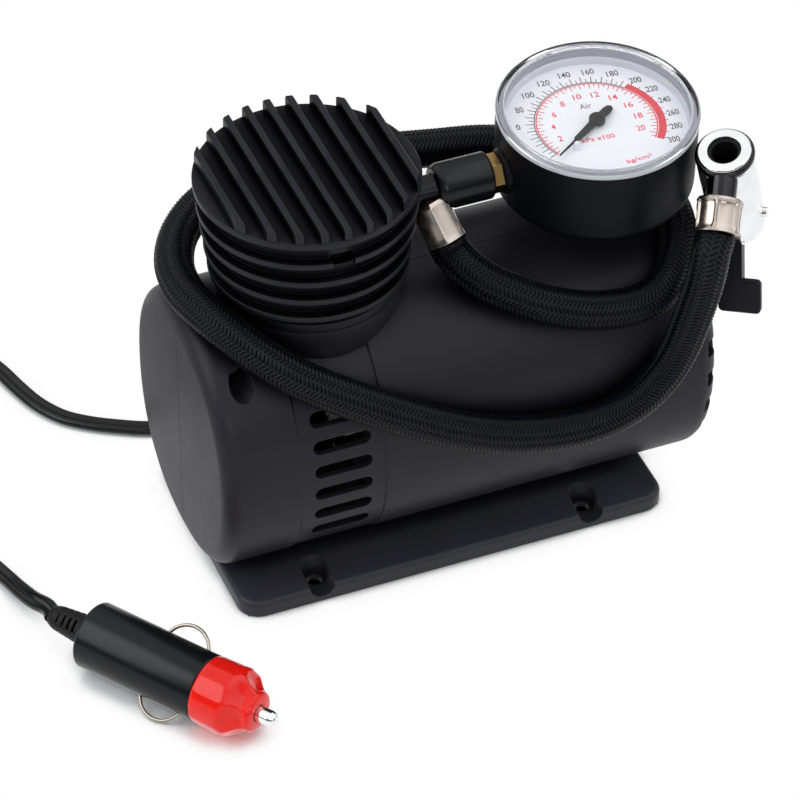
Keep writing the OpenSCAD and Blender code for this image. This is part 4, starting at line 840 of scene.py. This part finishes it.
for x, y, outwards in MOUNTS:
    drill(base, shift(x, y), MOUNT_HOLE, -1, 12)
    drill(base, shift(x, y), NOTCH, SEAT_H, 12)
    section = arc_points(x, SEAT_H + NOTCH / 2, NOTCH / 2, 180, 360, 12)
    section += [(x + NOTCH / 2, 14), (x - NOTCH / 2, 14)]
    lo, hi = sorted((y, y + outwards * 20))
    boolean(base, loft([[(u, v, w) for u, w in section] for v in (hi, lo)]))
for x, y in BASE_SCREWS:
    drill(base, shift(x, y), BASE_SCREW_D, -1, 12)
    drill(base, shift(x, y), BASE_SCREW_HEAD, -1, 5)
finish_piece(base, base_black_painted_lighter, "shell", ("base_plate",), smooth=28)


# ---- housing
def barrel_ring(x, inset, sides):
    ring = []
    for k in range(sides):
        a = 2 * math.pi * k / sides
        c, s = math.cos(a), math.sin(a)
        y = (HOUSE_W / 2 - inset) * math.copysign(abs(c) ** (2 / HOUSE_POWER), c)
        z = (HOUSE_H / 2 - inset) * math.copysign(abs(s) ** (2 / HOUSE_POWER), s)
        ring.append((x, y, AXIS_Z + z))
    return ring


def barrel(inset, sides, steps, bands=(), ring_step=9):
    """Rings along the barrel, rounded at both ends; bands are recesses."""
    x0, x1, r0, r1 = HOUSE_X0 + inset, HOUSE_X1 - inset, END_ROUND - inset, FAN_END_ROUND - inset
    line = arc_points(x0 + r0, inset + r0, r0, 180, 270, steps)
    for b0, b1, depth in bands:
        line += [(b0, inset), (b0 + 0.5, inset + depth), (b1 - 0.5, inset + depth), (b1, inset)]
    line += arc_points(x1 - r1, inset + r1, r1, -90, 0, steps)
    full = [line[0]]
    for a, b in zip(line, line[1:]):
        parts = int(abs(b[0] - a[0]) / ring_step) + 1
        for k in range(1, parts):
            t = k / parts
            full.append((a[0] + (b[0] - a[0]) * t, a[1] + (b[1] - a[1]) * t))
        full.append(b)
    return loft([barrel_ring(x, i, sides) for x, i in full])


def stadium(length, height, steps=10):
    half = (length - height) / 2
    return [
        *arc_points(half, 0, height / 2, -90, 90, steps),
        *arc_points(-half, 0, height / 2, 90, 270, steps),
    ]


def below(z):
    """Everything under a height."""
    return block((-FAR, -FAR / 2, -20), (FAR, FAR / 2, z))


def drill_screw(obj, x, y, d, length):
    drill(obj, along_y(x, y, HOUSE_SCREW_Z), d, 0, length)


house = new_object("house", barrel(0, 192, 9, [(BAND_X0, BAND_X1, BAND_DEPTH)]))
collar = [
    (0, AXIS_Z), (COLLAR_FOOT_R, AXIS_Z), (COLLAR_FOOT_R, COVER_Z - 12), (COLLAR_R, COVER_Z - 3),
    (COLLAR_R, COVER_Z), (0, COVER_Z),
]
boolean(house, placed(lathe(collar, 128), COVER), "UNION")

hollow = new_object("hollow", barrel(WALL, 128, 4))
boolean(hollow, below(BASE_H + WALL))
for x in HOUSE_SCREW_X:
    for y0, y1 in ((-60, -0.05), (0.05, HOUSE_W / 2 - 16)):
        drill_screw(hollow, x, y0, SCREW_BORE + 3, y1 - y0)
boolean(house, shape_of(hollow))
drill(house, COVER, 2 * (COLLAR_FOOT_R - WALL - 0.5), AXIS_Z, 110, 96)
boolean(house, below(BASE_H))
for y in (-SLOT_CUT[1], SLOT_CUT[0]):
    slots = []
    for k in range(SLOT_COUNT):
        rings = [[(u, v, z) for u, v in stadium(SLOT_L, SLOT_H)] for z in (0, SLOT_CUT[1] - SLOT_CUT[0])]
        slots.append(placed(loft(rings), along_y(SLOT_X, y, SLOT_TOP - k * SLOT_PITCH)))
    boolean(house, joined(*slots))
cuts = []
for i in range(FAN_SLOTS):
    spot = shift(HOUSE_X1 - FAN_SLOT_L, 0, AXIS_Z) @ rotation("X", 360 * (i + 0.5) / FAN_SLOTS)
    inner, outer = HOUSE_W / 2 - WALL - 3.4, HOUSE_W / 2 + 15
    cuts.append(placed(block((0, -FAN_SLOT_W / 2, inner), (20, FAN_SLOT_W / 2, outer)), spot))
boolean(house, joined(*cuts))
for x in HOUSE_SCREW_X:
    drill_screw(house, x, -HOUSE_W, SCREW_BORE, HOUSE_W - 15)
    drill_screw(house, x, -HOUSE_W, SCREW_HOLE, HOUSE_W)
    drill_screw(house, x, -0.5, SCREW_PILOT, 10)
drill(house, along_y(*GLAND), GLAND_BORE, 0, 60)
drill(house, along_y(GLAND[0], 0, GLAND[2]), LEAD_BORE, 0, 60)

house_rear = new_object("housing_rear_shell", ([], []))
house_rear.data = house.data.copy()
house.name = "housing_front_shell"
boolean(house, block((-FAR, -SEAM / 2, -50), (FAR, FAR, 250)))
boolean(house_rear, block((-FAR, -FAR, -50), (FAR, SEAM / 2, 250)))
finish_piece(house, shell_black, "shell", ("housing_front",), smooth=28)
finish_piece(house_rear, shell_black, "shell", ("housing_rear",), smooth=28)


# ---- cover
def cover_profile():
    inner, roof = RING_R[0] - GROOVE - 2.4, COVER_TOP - COVER_WALL
    line = [(0, roof), (inner, roof), (inner, COVER_Z), (COLLAR_R, COVER_Z)]
    line += [(COLLAR_R, RING_Z[0] - 2.4), (RING_R[0] - GROOVE, RING_Z[0] - 2)]
    for r, z in zip(RING_R, RING_Z):
        line += [(r - GROOVE, z), (r, z + 0.2), (r, z + RING_T), (r - GROOVE, z + RING_T)]
    line += [(COVER_R - GROOVE, COVER_TOP - RING_T - 0.4), (COVER_R, COVER_TOP - RING_T)]
    line += [(COVER_R, COVER_TOP), (0, COVER_TOP)]
    return [(max(r, 0), z) for r, z in soften(line, 0.45, 3)]


def fin(i):
    """A fin that ends on the flange's circle. Its top edges are chamfered, and a
    shallow mark crosses the top."""
    mid = (i - (FINS - 1) / 2) * FIN_PITCH
    chamfer, limit, foot = 0.3, COVER_R - 0.25, COVER_TOP - RING_T + 0.2
    mark_y, mark_w, mark_h = 1.5, 0.35, 0.14
    half = FIN_T / 2
    columns = []
    for u, drop in ((-half, chamfer), (-half + chamfer, 0), (half - chamfer, 0), (half, chamfer)):
        x = mid + u
        reach = math.sqrt(max(limit**2 - x * x, 1))
        top = COVER_TOP + FIN_H - drop
        line = [(-reach, foot), (-reach, top - 0.9), (-reach + 0.9, top), (mark_y - 2 * mark_w, top)]
        line += [(mark_y - mark_w, top - mark_h), (mark_y + mark_w, top - mark_h)]
        line += [(mark_y + 2 * mark_w, top), (reach - 0.4, top), (reach, top - 0.4), (reach, foot)]
        columns.append([(COVER_X + x, y, z) for y, z in line])
    return loft(columns)


cover = new_object("cylinder_cover_body", placed(lathe(cover_profile(), 128), COVER))
clip_gap = block((27.4, -3.4, -0.5), (RING_R[3] + 8, 3.4, RING_T + 1.7))
boolean(cover, placed(clip_gap, shift(COVER_X, 0, RING_Z[3] - 0.4) @ rotation("Z", -92)))
drill(cover, along_x(COVER_X, 0, LINE_Z), 9.6, 0, COVER_R + 5)
for i in range(FINS):
    boolean(cover, fin(i), "UNION")
finish_piece(cover, cover_black, "shell", ("cylinder_cover",), smooth=30)

# ---- air line
# (radius, place along the line): spigot into the cover, waist, body, mouth.
tee_profile = [
    (0, -18.4), (3.95, -18.4), (3.95, -9.9), (4.5, -9.9), (4.5, 7), (6.3, 7), (7.3, 9), (7.3, 24),
    (6.8, 24.5), (4.1, 24.5), (4.1, 15), (0, 15),
]
tee = new_object("tee_body", placed(lathe(soften_between(tee_profile, 0.35, 3), 72), along_x(0, 0, LINE_Z)))
foot, end = (Vector(p) for p in TEE_FERRULE)
drill(tee, aim(foot, end), FERRULE_D + 0.1, -0.05, 14)
drill(tee, aim(foot, end), LINE_BORE, -3, (end - foot).length, operation="UNION")
finish_piece(tee, gloss_black, "gloss_black", ("tee_fitting",))


def ferrule(name, start, end, d, turn, press, flats, node):
    """Crimped sleeve. flats, from 0 to 1, makes it hexagonal; press is how deep
    its six panels are pressed in, and turn rolls them by parts of a panel."""
    length = (Vector(end) - Vector(start)).length
    r = d / 2
    bore_r, panel, swell, lip = 3.35, math.pi / 3, 18, 0.9

    def pressed(radius, z, a):
        if radius < bore_r + 1.15:
            return radius
        u = (a / panel + turn) % 1 - 0.5
        v = (z / length - 0.5) * 1.12
        pad = 1 - min(1, (abs(u) / 0.455) ** 6 + (abs(v) / 0.455) ** 6)
        flat = math.cos(panel / 2) / math.cos(u * panel)
        return radius * (1 - flats * (1 - flat)) - press * pad**0.4

    line = [(r - 0.7, 0), (r - 0.25, lip)]
    for k in range(1, swell):
        line.append((r - 0.25 - 0.1 * math.sin(math.pi * k / swell), lip + (length - 2) * k / swell))
    line += [(r - 0.15, length - lip), (r, length - 0.2), (r - 0.35, length), (bore_r, length), (bore_r, 0)]
    shape = placed(lathe(line, 216, pressed), aim(start, end))
    return piece(name, shape, nickel, "nickel", (node,), smooth=40)


ferrule("tee_ferrule_crimped", *TEE_SLEEVE, FERRULE_D, 0.9, 0.04, 0.6, "tee_ferrule")
chuck_ferrule = ferrule(
    "chuck_ferrule_crimped", *CHUCK_SLEEVE, FERRULE_D + 1.1, 0.42, 0.8, 0.0, "chuck_ferrule"
)

# ---- gauge
GAUGE_SIDES, CUP_ROUND, CUP_FLOOR, BOSS_R = 144, 4, CASE_BOTTOM + 2, 7
case_line = arc_points(GAUGE_R - CUP_ROUND, CASE_BOTTOM + CUP_ROUND, CUP_ROUND, -90, 0, 10)
case_line = [(0, CASE_BOTTOM), *case_line]
case_line += [(GAUGE_R, CASE_TOP - 0.3), (GAUGE_R - 0.3, CASE_TOP), (GAUGE_R - CUP_WALL, CASE_TOP)]
case_line += [(GAUGE_R - CUP_WALL, CUP_FLOOR), (0, CUP_FLOOR)]
case = new_object("gauge_cup", lathe(case_line, GAUGE_SIDES))
neck = GAUGE_X - 27.7
boss = lathe([
    (0, -neck), (5.6, -neck), (BOSS_R - 0.5, -neck + 0.5), (BOSS_R, -neck + 1.6),
    (BOSS_R, -GAUGE_R + 6), (0, -GAUGE_R + 6),
], 72)
boolean(case, placed(boss, rotation("Y", 90)), "UNION")
boolean(case, rod(2 * (GAUGE_R - CUP_WALL), CUP_FLOOR, CASE_TOP + 10, GAUGE_SIDES))
drill(case, rotation("Y", 90), 8, -neck - 1, -GAUGE_R + 7)
carry(case, GAUGE)
finish_piece(case, case_black, "shell", ("gauge_case",))

RIM_IN, GASKET_R = GAUGE_R - 2.3, GAUGE_R - 0.95
lens_low, lens_high = LENS_TOP - LENS_T - 0.5, LENS_TOP - 0.5
lens_shape = lathe([(0, lens_low), (RIM_IN, lens_low), (RIM_IN, lens_high), (0, lens_high)], GAUGE_SIDES)
piece("gauge_lens_cap", placed(lens_shape, GAUGE), clear, "clear", ("gauge_lens",))


def gauge_ring(name, material, line, radius=0.1, steps=2):
    """A ring with a closed section, softened by radius."""
    shape = lathe(soften(line, radius, steps, closed=True), GAUGE_SIDES)
    piece(name, placed(shape, GAUGE), material, "clear")


gauge_ring("gauge_lens_rim", clear, [
    (RIM_IN + 0.05, CASE_TOP + 0.18), (GAUGE_R - 0.1, CASE_TOP + 0.18), (GAUGE_R - 0.1, LENS_TOP - 0.7),
    (GAUGE_R - 0.5, LENS_TOP), (GAUGE_R - 1.5, LENS_TOP), (RIM_IN + 0.25, LENS_TOP - 0.2),
    (RIM_IN + 0.2, LENS_TOP - 0.48), (RIM_IN + 0.05, LENS_TOP - 0.5),
], 0.35, 3)
gauge_ring("gauge_lens_skirt", frost_and_highlight, [
    (GAUGE_R - 0.08, CASE_TOP + 0.05), (GAUGE_R + 0.2, CASE_TOP + 0.05), (GAUGE_R + 0.2, LENS_TOP - 0.95),
    (GAUGE_R - 0.08, LENS_TOP - 0.7),
])
# A frosted bead paints the highlight line along the rim's inner top edge.
gauge_ring("gauge_lens_highlight_bead", frost_and_highlight, [
    (RIM_IN - 0.35, LENS_TOP - 0.46), (RIM_IN + 0.15, LENS_TOP - 0.46), (RIM_IN + 0.15, LENS_TOP - 0.1),
    (RIM_IN - 0.15, LENS_TOP - 0.1),
])
gauge_ring("gauge_dial_bezel", ring_pale, [
    (DIAL_R - 0.9, DIAL_Z + 0.03), (DIAL_R - 0.05, DIAL_Z + 0.03), (DIAL_R - 0.05, DIAL_Z + 2.65),
    (DIAL_R - 0.5, DIAL_Z + 2.65), (DIAL_R - 0.95, DIAL_Z + 2.25),
])
# The liner above the bezel, and the gasket flange that it ends in.
gauge_ring("gauge_inner_ring", ring_grey, [
    (DIAL_R - 0.3, DIAL_Z + 2.7), (DIAL_R - 0.05, DIAL_Z + 2.7), (DIAL_R - 0.05, CASE_TOP + 0.04),
    (GASKET_R, CASE_TOP + 0.04), (GASKET_R, CASE_TOP + 0.14), (DIAL_R - 0.3, CASE_TOP + 0.14),
], 0.04)

plate_line = [(DIAL_R - 0.1, DIAL_Z - 0.5), (DIAL_R - 0.1, DIAL_Z), (1.3, DIAL_Z), (1.3, DIAL_Z - 0.5)]
dial = new_object("dial_plate", lathe(plate_line, 128))
# The stop pin stands beside the needle.
STOP_R, STOP_ANGLE = 13.2, math.radians(NEEDLE_REST + 6.5)
stop_pin = lathe([
    (0, DIAL_Z - 0.2), (1.0, DIAL_Z - 0.2), (0.9, DIAL_Z + 2.2), (0.6, DIAL_Z + 2.6), (0, DIAL_Z + 2.7),
], 24)
stop_at = shift(STOP_R * math.cos(STOP_ANGLE), STOP_R * math.sin(STOP_ANGLE))
boolean(dial, placed(stop_pin, stop_at), "UNION")
carry(dial, GAUGE)
finish_piece(dial, dial_white, "dial_white", ("gauge_dial",))

PRINT_T = 0.03
DIAL_UP = -6                  # turn of the dial's words, in degrees
SCALE_END, SCALE_START = -40, 208
RED_FROM = 40
TEXT_T = 0.001                # of the letters as Blender makes them


def text_shape(words, height, width, bold=0.0):
    """Flat letters, centred, of a given overall height and width."""
    curve = bpy.data.curves.new("words", "FONT")
    curve.body = words
    curve.extrude = TEXT_T
    curve.offset = bold
    curve.resolution_u = 3
    obj = bpy.data.objects.new("words", curve)
    bpy.context.scene.collection.objects.link(obj)
    mesh = evaluated_mesh(obj)
    co = np.array([v.co for v in mesh.vertices])
    faces = [tuple(f.vertices) for f in mesh.polygons]
    bpy.data.objects.remove(obj)
    lo, hi = co.min(0), co.max(0)
    scale = np.array([width / (hi[0] - lo[0]), height / (hi[1] - lo[1]), PRINT_T / (2 * TEXT_T)])
    co = (co - (lo + hi) / 2) * scale + (0, 0, PRINT_T / 2)
    return [tuple(p) for p in co], faces


def number(value, height, digit_width, bold, radius, angle):
    a = math.radians(angle)
    shape = text_shape(str(value), height, digit_width * len(str(value)), bold)
    return placed(shape, shift(radius * math.cos(a), radius * math.sin(a), DIAL_Z) @ rotation("Z", DIAL_UP))


def word(text, height, width, bold, x, y, turn):
    return placed(text_shape(text, height, width, bold), shift(x, y, DIAL_Z) @ rotation("Z", turn))


def tick(radius0, radius1, angle, width):
    mark = block((radius0, -width / 2, DIAL_Z), (radius1, width / 2, DIAL_Z + PRINT_T))
    return placed(mark, rotation("Z", angle))


def arc(radius0, radius1, angle0, angle1, lift=0.0):
    steps = max(int(abs(angle1 - angle0) / 2), 2)
    low, high = DIAL_Z + lift, DIAL_Z + lift + PRINT_T
    rings = []
    for k in range(steps + 1):
        a = math.radians(angle0 + (angle1 - angle0) * k / steps)
        corners = ((radius0, low), (radius1, low), (radius1, high), (radius0, high))
        rings.append([(r * math.cos(a), r * math.sin(a), z) for r, z in corners])
    return loft(rings)


def outer_angle(value):
    """Where a number of the outer scale stands."""
    if value == 0:
        return 164
    return 145 - 0.9 * (value - 80) if value <= 200 else 37 - 0.745 * (value - 200)


black_print = [arc(18.6, 18.9, SCALE_END, SCALE_START)]
red_print = [arc(18.0, 18.38, SCALE_END, SCALE_START), arc(18.6, 20.9, SCALE_END, RED_FROM, 0.01)]
for k in range(38):
    length, width = (21.4, 0.27) if k % 2 == 0 else (20.4, 0.2)
    black_print.append(tick(18.7, length, 206.5 - 4.5 * k, width))
for k in range(51):
    red_print.append(tick(16.1 if k % 2 else 16.9, 18.2, 206 - 4.88 * k, 0.27))
for k in range(11):
    black_print.append(tick(20.9, 21.7, 37 - 7.45 * k, 0.2))
for value in (0, *range(80, 301, 20)):
    black_print.append(number(value, 2.5, 1.22, 0.01, 23.7, outer_angle(value)))
for k in range(10):
    red_print.append(number(2 + 2 * k, 2.4, 1.3, 0.012, 13.2, 191 - 24.4 * k))
black_print.append(word("Air", 2.3, 3.6, 0, -0.1, 8.5, DIAL_UP))
red_print.append(word("kPa x100", 2.0, 10.2, 0.012, -2.2, -6.2, DIAL_UP))
red_print.append(word("kg/cm²", 2.2, 8.2, 0.012, 5.6, -19.0, 2))
piece("dial_print_black", placed(joined(*black_print), GAUGE), ink_black, "dial_white")
piece("dial_print_red", placed(joined(*red_print), GAUGE), ink_red, "dial_white")

needle_line = [
    (2, -1.3), (10.8, -0.95), (12, -0.35), (20, -0.18), (20, 0.18), (12, 0.35), (10.8, 0.95), (2, 1.3),
    (-5.2, 1.45), (-7, 1.1), (-7.7, 0), (-7, -1.1), (-5.2, -1.45),
]
hub_line = [(0, 1.0), (2.5, 1.0), (2.5, 2.3), (2.2, 2.7), (1.0, 2.9), (0, 2.9)]
needle_shape = joined(
    placed(prism(needle_line, DIAL_Z + 1.2, DIAL_Z + 1.9, 0.12), rotation("Z", NEEDLE_REST)),
    lathe([(r, DIAL_Z + z) for r, z in hub_line], 48),
    rod(1.6, CASE_BOTTOM + 2.6, DIAL_Z + 1.1, 24),
)
piece(
    "gauge_pointer_needle", placed(needle_shape, GAUGE), lever_black, "gloss_black", ("gauge_needle",),
    body="gauge_pointer",
)

# ---- chuck
CHUCK_R = CHUCK_D / 2
chuck_line = [
    (0, -CHUCK_L), (CHUCK_R - 2.4, -CHUCK_L), (CHUCK_R - 0.8, -CHUCK_L + 1.2),
    (CHUCK_R - 0.2, -CHUCK_L + 3.6), (CHUCK_R, -5), (CHUCK_R - 0.2, -3.9), (CHUCK_R - 1.2, -3.6),
    (CHUCK_R - 1.2, -0.9), (CHUCK_R - 0.5, -0.6), (CHUCK_R - 1.0, 0), (0, 0),
]
# A band of chrome painted dark lies in the groove under the mouth: a painted dark reflection.
dark_reflection_band_line = [
    (CHUCK_R - 1.1, -3.5), (CHUCK_R - 0.1, -3.5), (CHUCK_R + 0.25, -2.5), (CHUCK_R + 0.2, -1.3),
    (CHUCK_R - 0.4, -0.7), (CHUCK_R - 1.1, -0.95),
]
dark_reflection_band_shape = lathe(soften(dark_reflection_band_line, 0.5, 4, closed=True), 128)
piece("chuck_collar_painted_reflection_band", placed(dark_reflection_band_shape, CHUCK), painted_dark_reflection_chrome, "chrome", smooth=60)
chuck = new_object("chuck_body_chrome", placed(lathe(soften_between(chuck_line, 0.5, 4), 128), CHUCK))

# The neck runs out of the sleeve and bends into the chuck's side.
NECK_R, NECK_L, NECK_DOME = 4.5, 6.4, 2.8
foot, end = (Vector(p) for p in CHUCK_SLEEVE)
elbow = foot + (foot - end).normalized() * 4.6
port = CHUCK @ Vector((0, 0, -17))
dome = [(0, 0), (NECK_R, 0), (NECK_R, NECK_L)]
for x, y in arc_points(0, 0, 1, 0, 90, 8)[1:-1]:
    dome.append((NECK_R * x, NECK_L + NECK_DOME * y))
dome.append((0, NECK_L + NECK_DOME))
neck_piece = new_object("chuck_port_neck", placed(lathe(dome, 64), aim(foot, elbow)))
sleeve_cut = placed(rod(FERRULE_D + 0.1, -0.05, (end - foot).length + 1), aim(foot, end))
drill(neck_piece, aim(elbow, port), 8, 0, 12, 64, operation="UNION")
drill(neck_piece, CHUCK, CHUCK_D - 0.4, -CHUCK_L, 0, 96)
boolean(chuck, sleeve_cut)
boolean(neck_piece, sleeve_cut)
drill(neck_piece, aim(end, elbow), LINE_BORE, 0, (end - foot).length + 2, operation="UNION")
# The neck is painted dark chrome, a painted reflection of the dark gauge and hose beside it.
finish_piece(neck_piece, painted_dark_reflection_chrome, "chrome", smooth=40)
drill(chuck, CHUCK, 10.2, -19, 1, 64)
lever_slot = block((-2.8, -CHUCK_D, -CHUCK_L - 1), (2.8, 4.3, CHUCK_PIN_Z + 4.3))
boolean(chuck, placed(lever_slot, CHUCK))
drill(chuck, CHUCK_PIN, CHUCK_PIN_D + 0.1, -CHUCK_D, CHUCK_D)
finish_piece(chuck, chrome, "chrome", ("chuck_body",), smooth=40)

lever_pad = [(x, y) for x, y, _ in rounded_rect(6.6, 5.5, 1.6, 0, 6)]
lever = new_object("lever_handle", placed(rod(8, -2.5, 2.5), rotation("Y", 90)))
boolean(lever, block((-2.5, -2, -33), (2.5, 2, 0)), "UNION")
boolean(lever, placed(prism(lever_pad, 0, 2.6, 0.4), shift(1.6, -2, -28.5) @ rotation("X", -90)), "UNION")
drill(lever, rotation("Y", 90), CHUCK_PIN_D + 0.1, -6, 6)
carry(lever, LEVER)
finish_piece(lever, lever_black, "gloss_black", ("chuck_lever",), body="chuck_handle")

pin_shape = joined(
    rod(CHUCK_PIN_D, -11.2, 10, 32),
    lathe([(0, -11.4), (2.1, -11.4), (2.5, -11.0), (2.5, -9.2), (0, -9.0)], 32),
)
piece("chuck_pivot_pin", placed(pin_shape, CHUCK_PIN), chrome, "chrome", ("chuck_pin",))

# ---- plug
SPIGOT_R, SPIGOT_END, PLUG_FLOOR = 8.5, PLUG_BODY + 6, 2.4
plug_line = [
    (0, 0), (PLUG_R - 0.5, 0), (PLUG_R, 0.6), (PLUG_R, PLUG_BODY), (SPIGOT_R, PLUG_BODY),
    (SPIGOT_R, SPIGOT_END), (PLUG_BORE_R, SPIGOT_END), (PLUG_BORE_R, PLUG_FLOOR), (0, PLUG_FLOOR),
]
plug_body = new_object("plug_handle", lathe(soften_between(plug_line, 0.5, 3), 96))
boolean(plug_body, rod(7.1, -1, 5))
for side in (0, 180):
    boolean(plug_body, placed(block((-1.2, 3, 20), (1.2, 14, 40)), rotation("Z", SPRING_TURN + side)))
carry(plug_body, PLUG)
finish_piece(plug_body, gloss_black, "gloss_black", ("plug_body",))

boot_line = [(0, -PLUG_BOOT)]
for k in range(13):
    radius = 3.6 + 1.5 * k / 12 - 0.7 * max(0, 1 - k / 1.5)
    boot_line.append((radius, -PLUG_BOOT + (PLUG_BOOT - 0.05) * k / 12))
boot_line += [(3.5, -0.05), (3.5, PLUG_FLOOR - 0.1), (0, PLUG_FLOOR - 0.1)]
boot = new_object("plug_strain_boot", lathe(boot_line, 64))
for quarter in range(4):
    for k in range(4):
        slot = block((3.4, -1.9, -11.3 + 2.1 * k), (9, 1.9, -10.4 + 2.1 * k))
        boolean(boot, placed(slot, rotation("Z", BOOT_TURN + 90 * quarter)))
carry(boot, PLUG)
drill(boot, PLUG, FUSE_COIL_BORE, -2.8, 4)
plug_boot = finish_piece(boot, rubber, "rubber", ("plug_boot",))


def within(value, start, length):
    """0 before start and 1 from start + length on, in a straight ramp."""
    return min(max((value - start) / length, 0), 1)


def nose_radius(r, z, a):
    """Fourteen shallow panels behind, six flutes in front."""
    if r < 5.9:
        return r
    h = z - PLUG_BODY
    wedge = math.pi / 7
    flat = math.cos(wedge / 2) / math.cos(a % wedge - wedge / 2)
    panel = (1 - within(h, 11.0, 1.6)) * 0.55
    front = within(h, 10.6, 2.2) * (1 - within(h, 16.1, 1.5))
    flute = math.sqrt(math.sin(3 * (a + NOSE_TURN)) ** 2 + 0.015)
    return r * (1 - panel * (1 - flat)) - front * 2.1 * flute * within(r, 5.8, 2.5)


# (radius, height above the body) of the fluted front, then the bore.
nose_front = [
    (11.0, 10.4), (10.97, 11.2), (10.8, 11.9), (10.45, 12.5), (9.9, 13.2), (9.1, 14.0), (8.3, 14.8),
    (7.6, 15.6), (7.0, 16.3), (6.6, 17.0), (6.35, 17.6), (6.1, 18.1), (5.6, 18.45), (2.7, 18.45),
    (2.7, 13.5),
]
nose_line = [(8.7, 42.15), (10.45, 42.15), (10.65, 42.5)]
nose_line += [(10.65 + 0.35 * k / 8, 42.5 + 9.702 * k / 8) for k in range(1, 8)]
nose_line += [(r, PLUG_BODY + h) for r, h in nose_front] + [(8.7, 50.9)]
nose_shape = placed(lathe(nose_line, 144, nose_radius), PLUG)
plug_nose = piece("plug_nose_cap", nose_shape, plug_red, "plug_red", ("plug_nose",), 45, "nose_cap")

# ---- floor, world, lights
FLOOR_HALF, FLOOR_Z, FLOOR_PALE, FLOOR_GLOSS = 4000, -0.05, 0.9, 0.92
SHADOW_REACH, SHADOW_POWER, SHADOW_DEEP = 9, 0.4, (0.5, 0.7)
PLATE_SHADE_MARGIN = 2
THROUGH_GLASS = 1.12
WORLD_DIFFUSE, WORLD_GLOSS_LOW, WORLD_GLOSS_HIGH = 0.3, 0.02, 1.05
LIGHT_COLOR, LIGHT_TARGET = (0.96, 0.975, 1.0), Vector((0, 0, 60))


def seen_directly(tree):
    """1 for rays from the camera, and a little more through glass."""
    path = tree.node("LightPath").outputs
    through = tree.math("MULTIPLY", path["Is Transmission Ray"], THROUGH_GLASS)
    return tree.math("MAXIMUM", path["Is Camera Ray"], through), path


corners = [(x * FLOOR_HALF, y * FLOOR_HALF, FLOOR_Z) for x, y in ((-1, -1), (1, -1), (1, 1), (-1, 1))]
floor = new_object("floor", (corners, [(0, 1, 2, 3)]))
paint = bpy.data.materials.new("studio_floor")
tree = Tree(paint)
tree.nodes.clear()
direct, path = seen_directly(tree)
# White where nothing stands near, painted darker as contact shadow, and painted black as shade under the
# plate.
near = tree.node("AmbientOcclusion", {"Distance": SHADOW_REACH * MM}, samples=8).outputs["AO"]
lit = tree.math("MULTIPLY", tree.math("POWER", near, SHADOW_POWER), tree.ranged(near, 0, 1, *SHADOW_DEEP))
# The floor under the plate neither glows nor reflects: painted shade.
place = tree.axes("Object")
off_x, off_y = (
    tree.math("GREATER_THAN", tree.math("ABSOLUTE", place[axis]), (size / 2 - PLATE_SHADE_MARGIN) * MM)
    for axis, size in (("X", BASE_L), ("Y", BASE_W))
)
clear_of_plate_shade = tree.math("MAXIMUM", off_x, off_y)
direct = tree.math("MULTIPLY", direct, tree.math("MULTIPLY", lit, clear_of_plate_shade))
gloss = tree.math("MULTIPLY", path["Is Glossy Ray"], FLOOR_GLOSS)
diffuse = tree.node("BsdfDiffuse", {"Color": tree.math("MULTIPLY", clear_of_plate_shade, FLOOR_PALE)})
glow = tree.node("Emission", {"Color": (1, 1, 1, 1)})
mix = tree.node("MixShader", {
    "Fac": tree.math("MAXIMUM", direct, gloss), 1: diffuse.outputs["BSDF"], 2: glow.outputs["Emission"],
})
tree.node("OutputMaterial", {"Surface": mix.outputs["Shader"]})
floor.data.materials.append(paint)
floor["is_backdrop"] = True

world = bpy.data.worlds.new("studio")
bpy.context.scene.world = world
tree = Tree(world)
sky = tree.nodes["Background"].inputs
sky["Color"].default_value = (1, 1, 1, 1)
direct, path = seen_directly(tree)
height = tree.ranged(tree.axes("Generated")["Z"], WORLD_GLOSS_LOW, WORLD_GLOSS_HIGH, 0.1, 0.9)
gloss = tree.math("MULTIPLY", height, path["Is Glossy Ray"])
spread = tree.math("MULTIPLY", path["Is Diffuse Ray"], WORLD_DIFFUSE)
tree.put(sky["Strength"], tree.math("MAXIMUM", tree.math("MAXIMUM", gloss, spread), direct))


def softbox(name, place, size, power):
    light = bpy.data.lights.new(name, "AREA")
    light.shape = "RECTANGLE"
    light.size, light.size_y = size
    light.energy = power
    light.color = LIGHT_COLOR
    obj = bpy.data.objects.new(name, light)
    bpy.context.scene.collection.objects.link(obj)
    obj.location = Vector(place) * MM
    obj.rotation_mode = "QUATERNION"
    obj.rotation_quaternion = (LIGHT_TARGET - Vector(place)).to_track_quat("-Z", "Y")


# Places in millimetres, sizes in metres, powers in watts.
softbox("left_light", (-1000, 100, 800), (0.9, 1.1), 7.5)
softbox("right_light", (900, -300, 900), (1.8, 1.8), 8.5)
softbox("back_light", (-500, 800, 700), (1.0, 0.6), 1.0)
softbox("front_light", (-300, -1300, 700), (0.9, 0.4), 3.6)
bpy.context.scene.view_settings.view_transform = "Standard"

# ---- ends of the hose and the lead in metres, computed and not kept
tuple(c * MM for c in TEE_FERRULE[1])
tuple(c * MM for c in lead_points[0])

lo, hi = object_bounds()
{"cad": [list(cad_box[0]), list(cad_box[1])], "visual": [list(lo), list(hi)]}
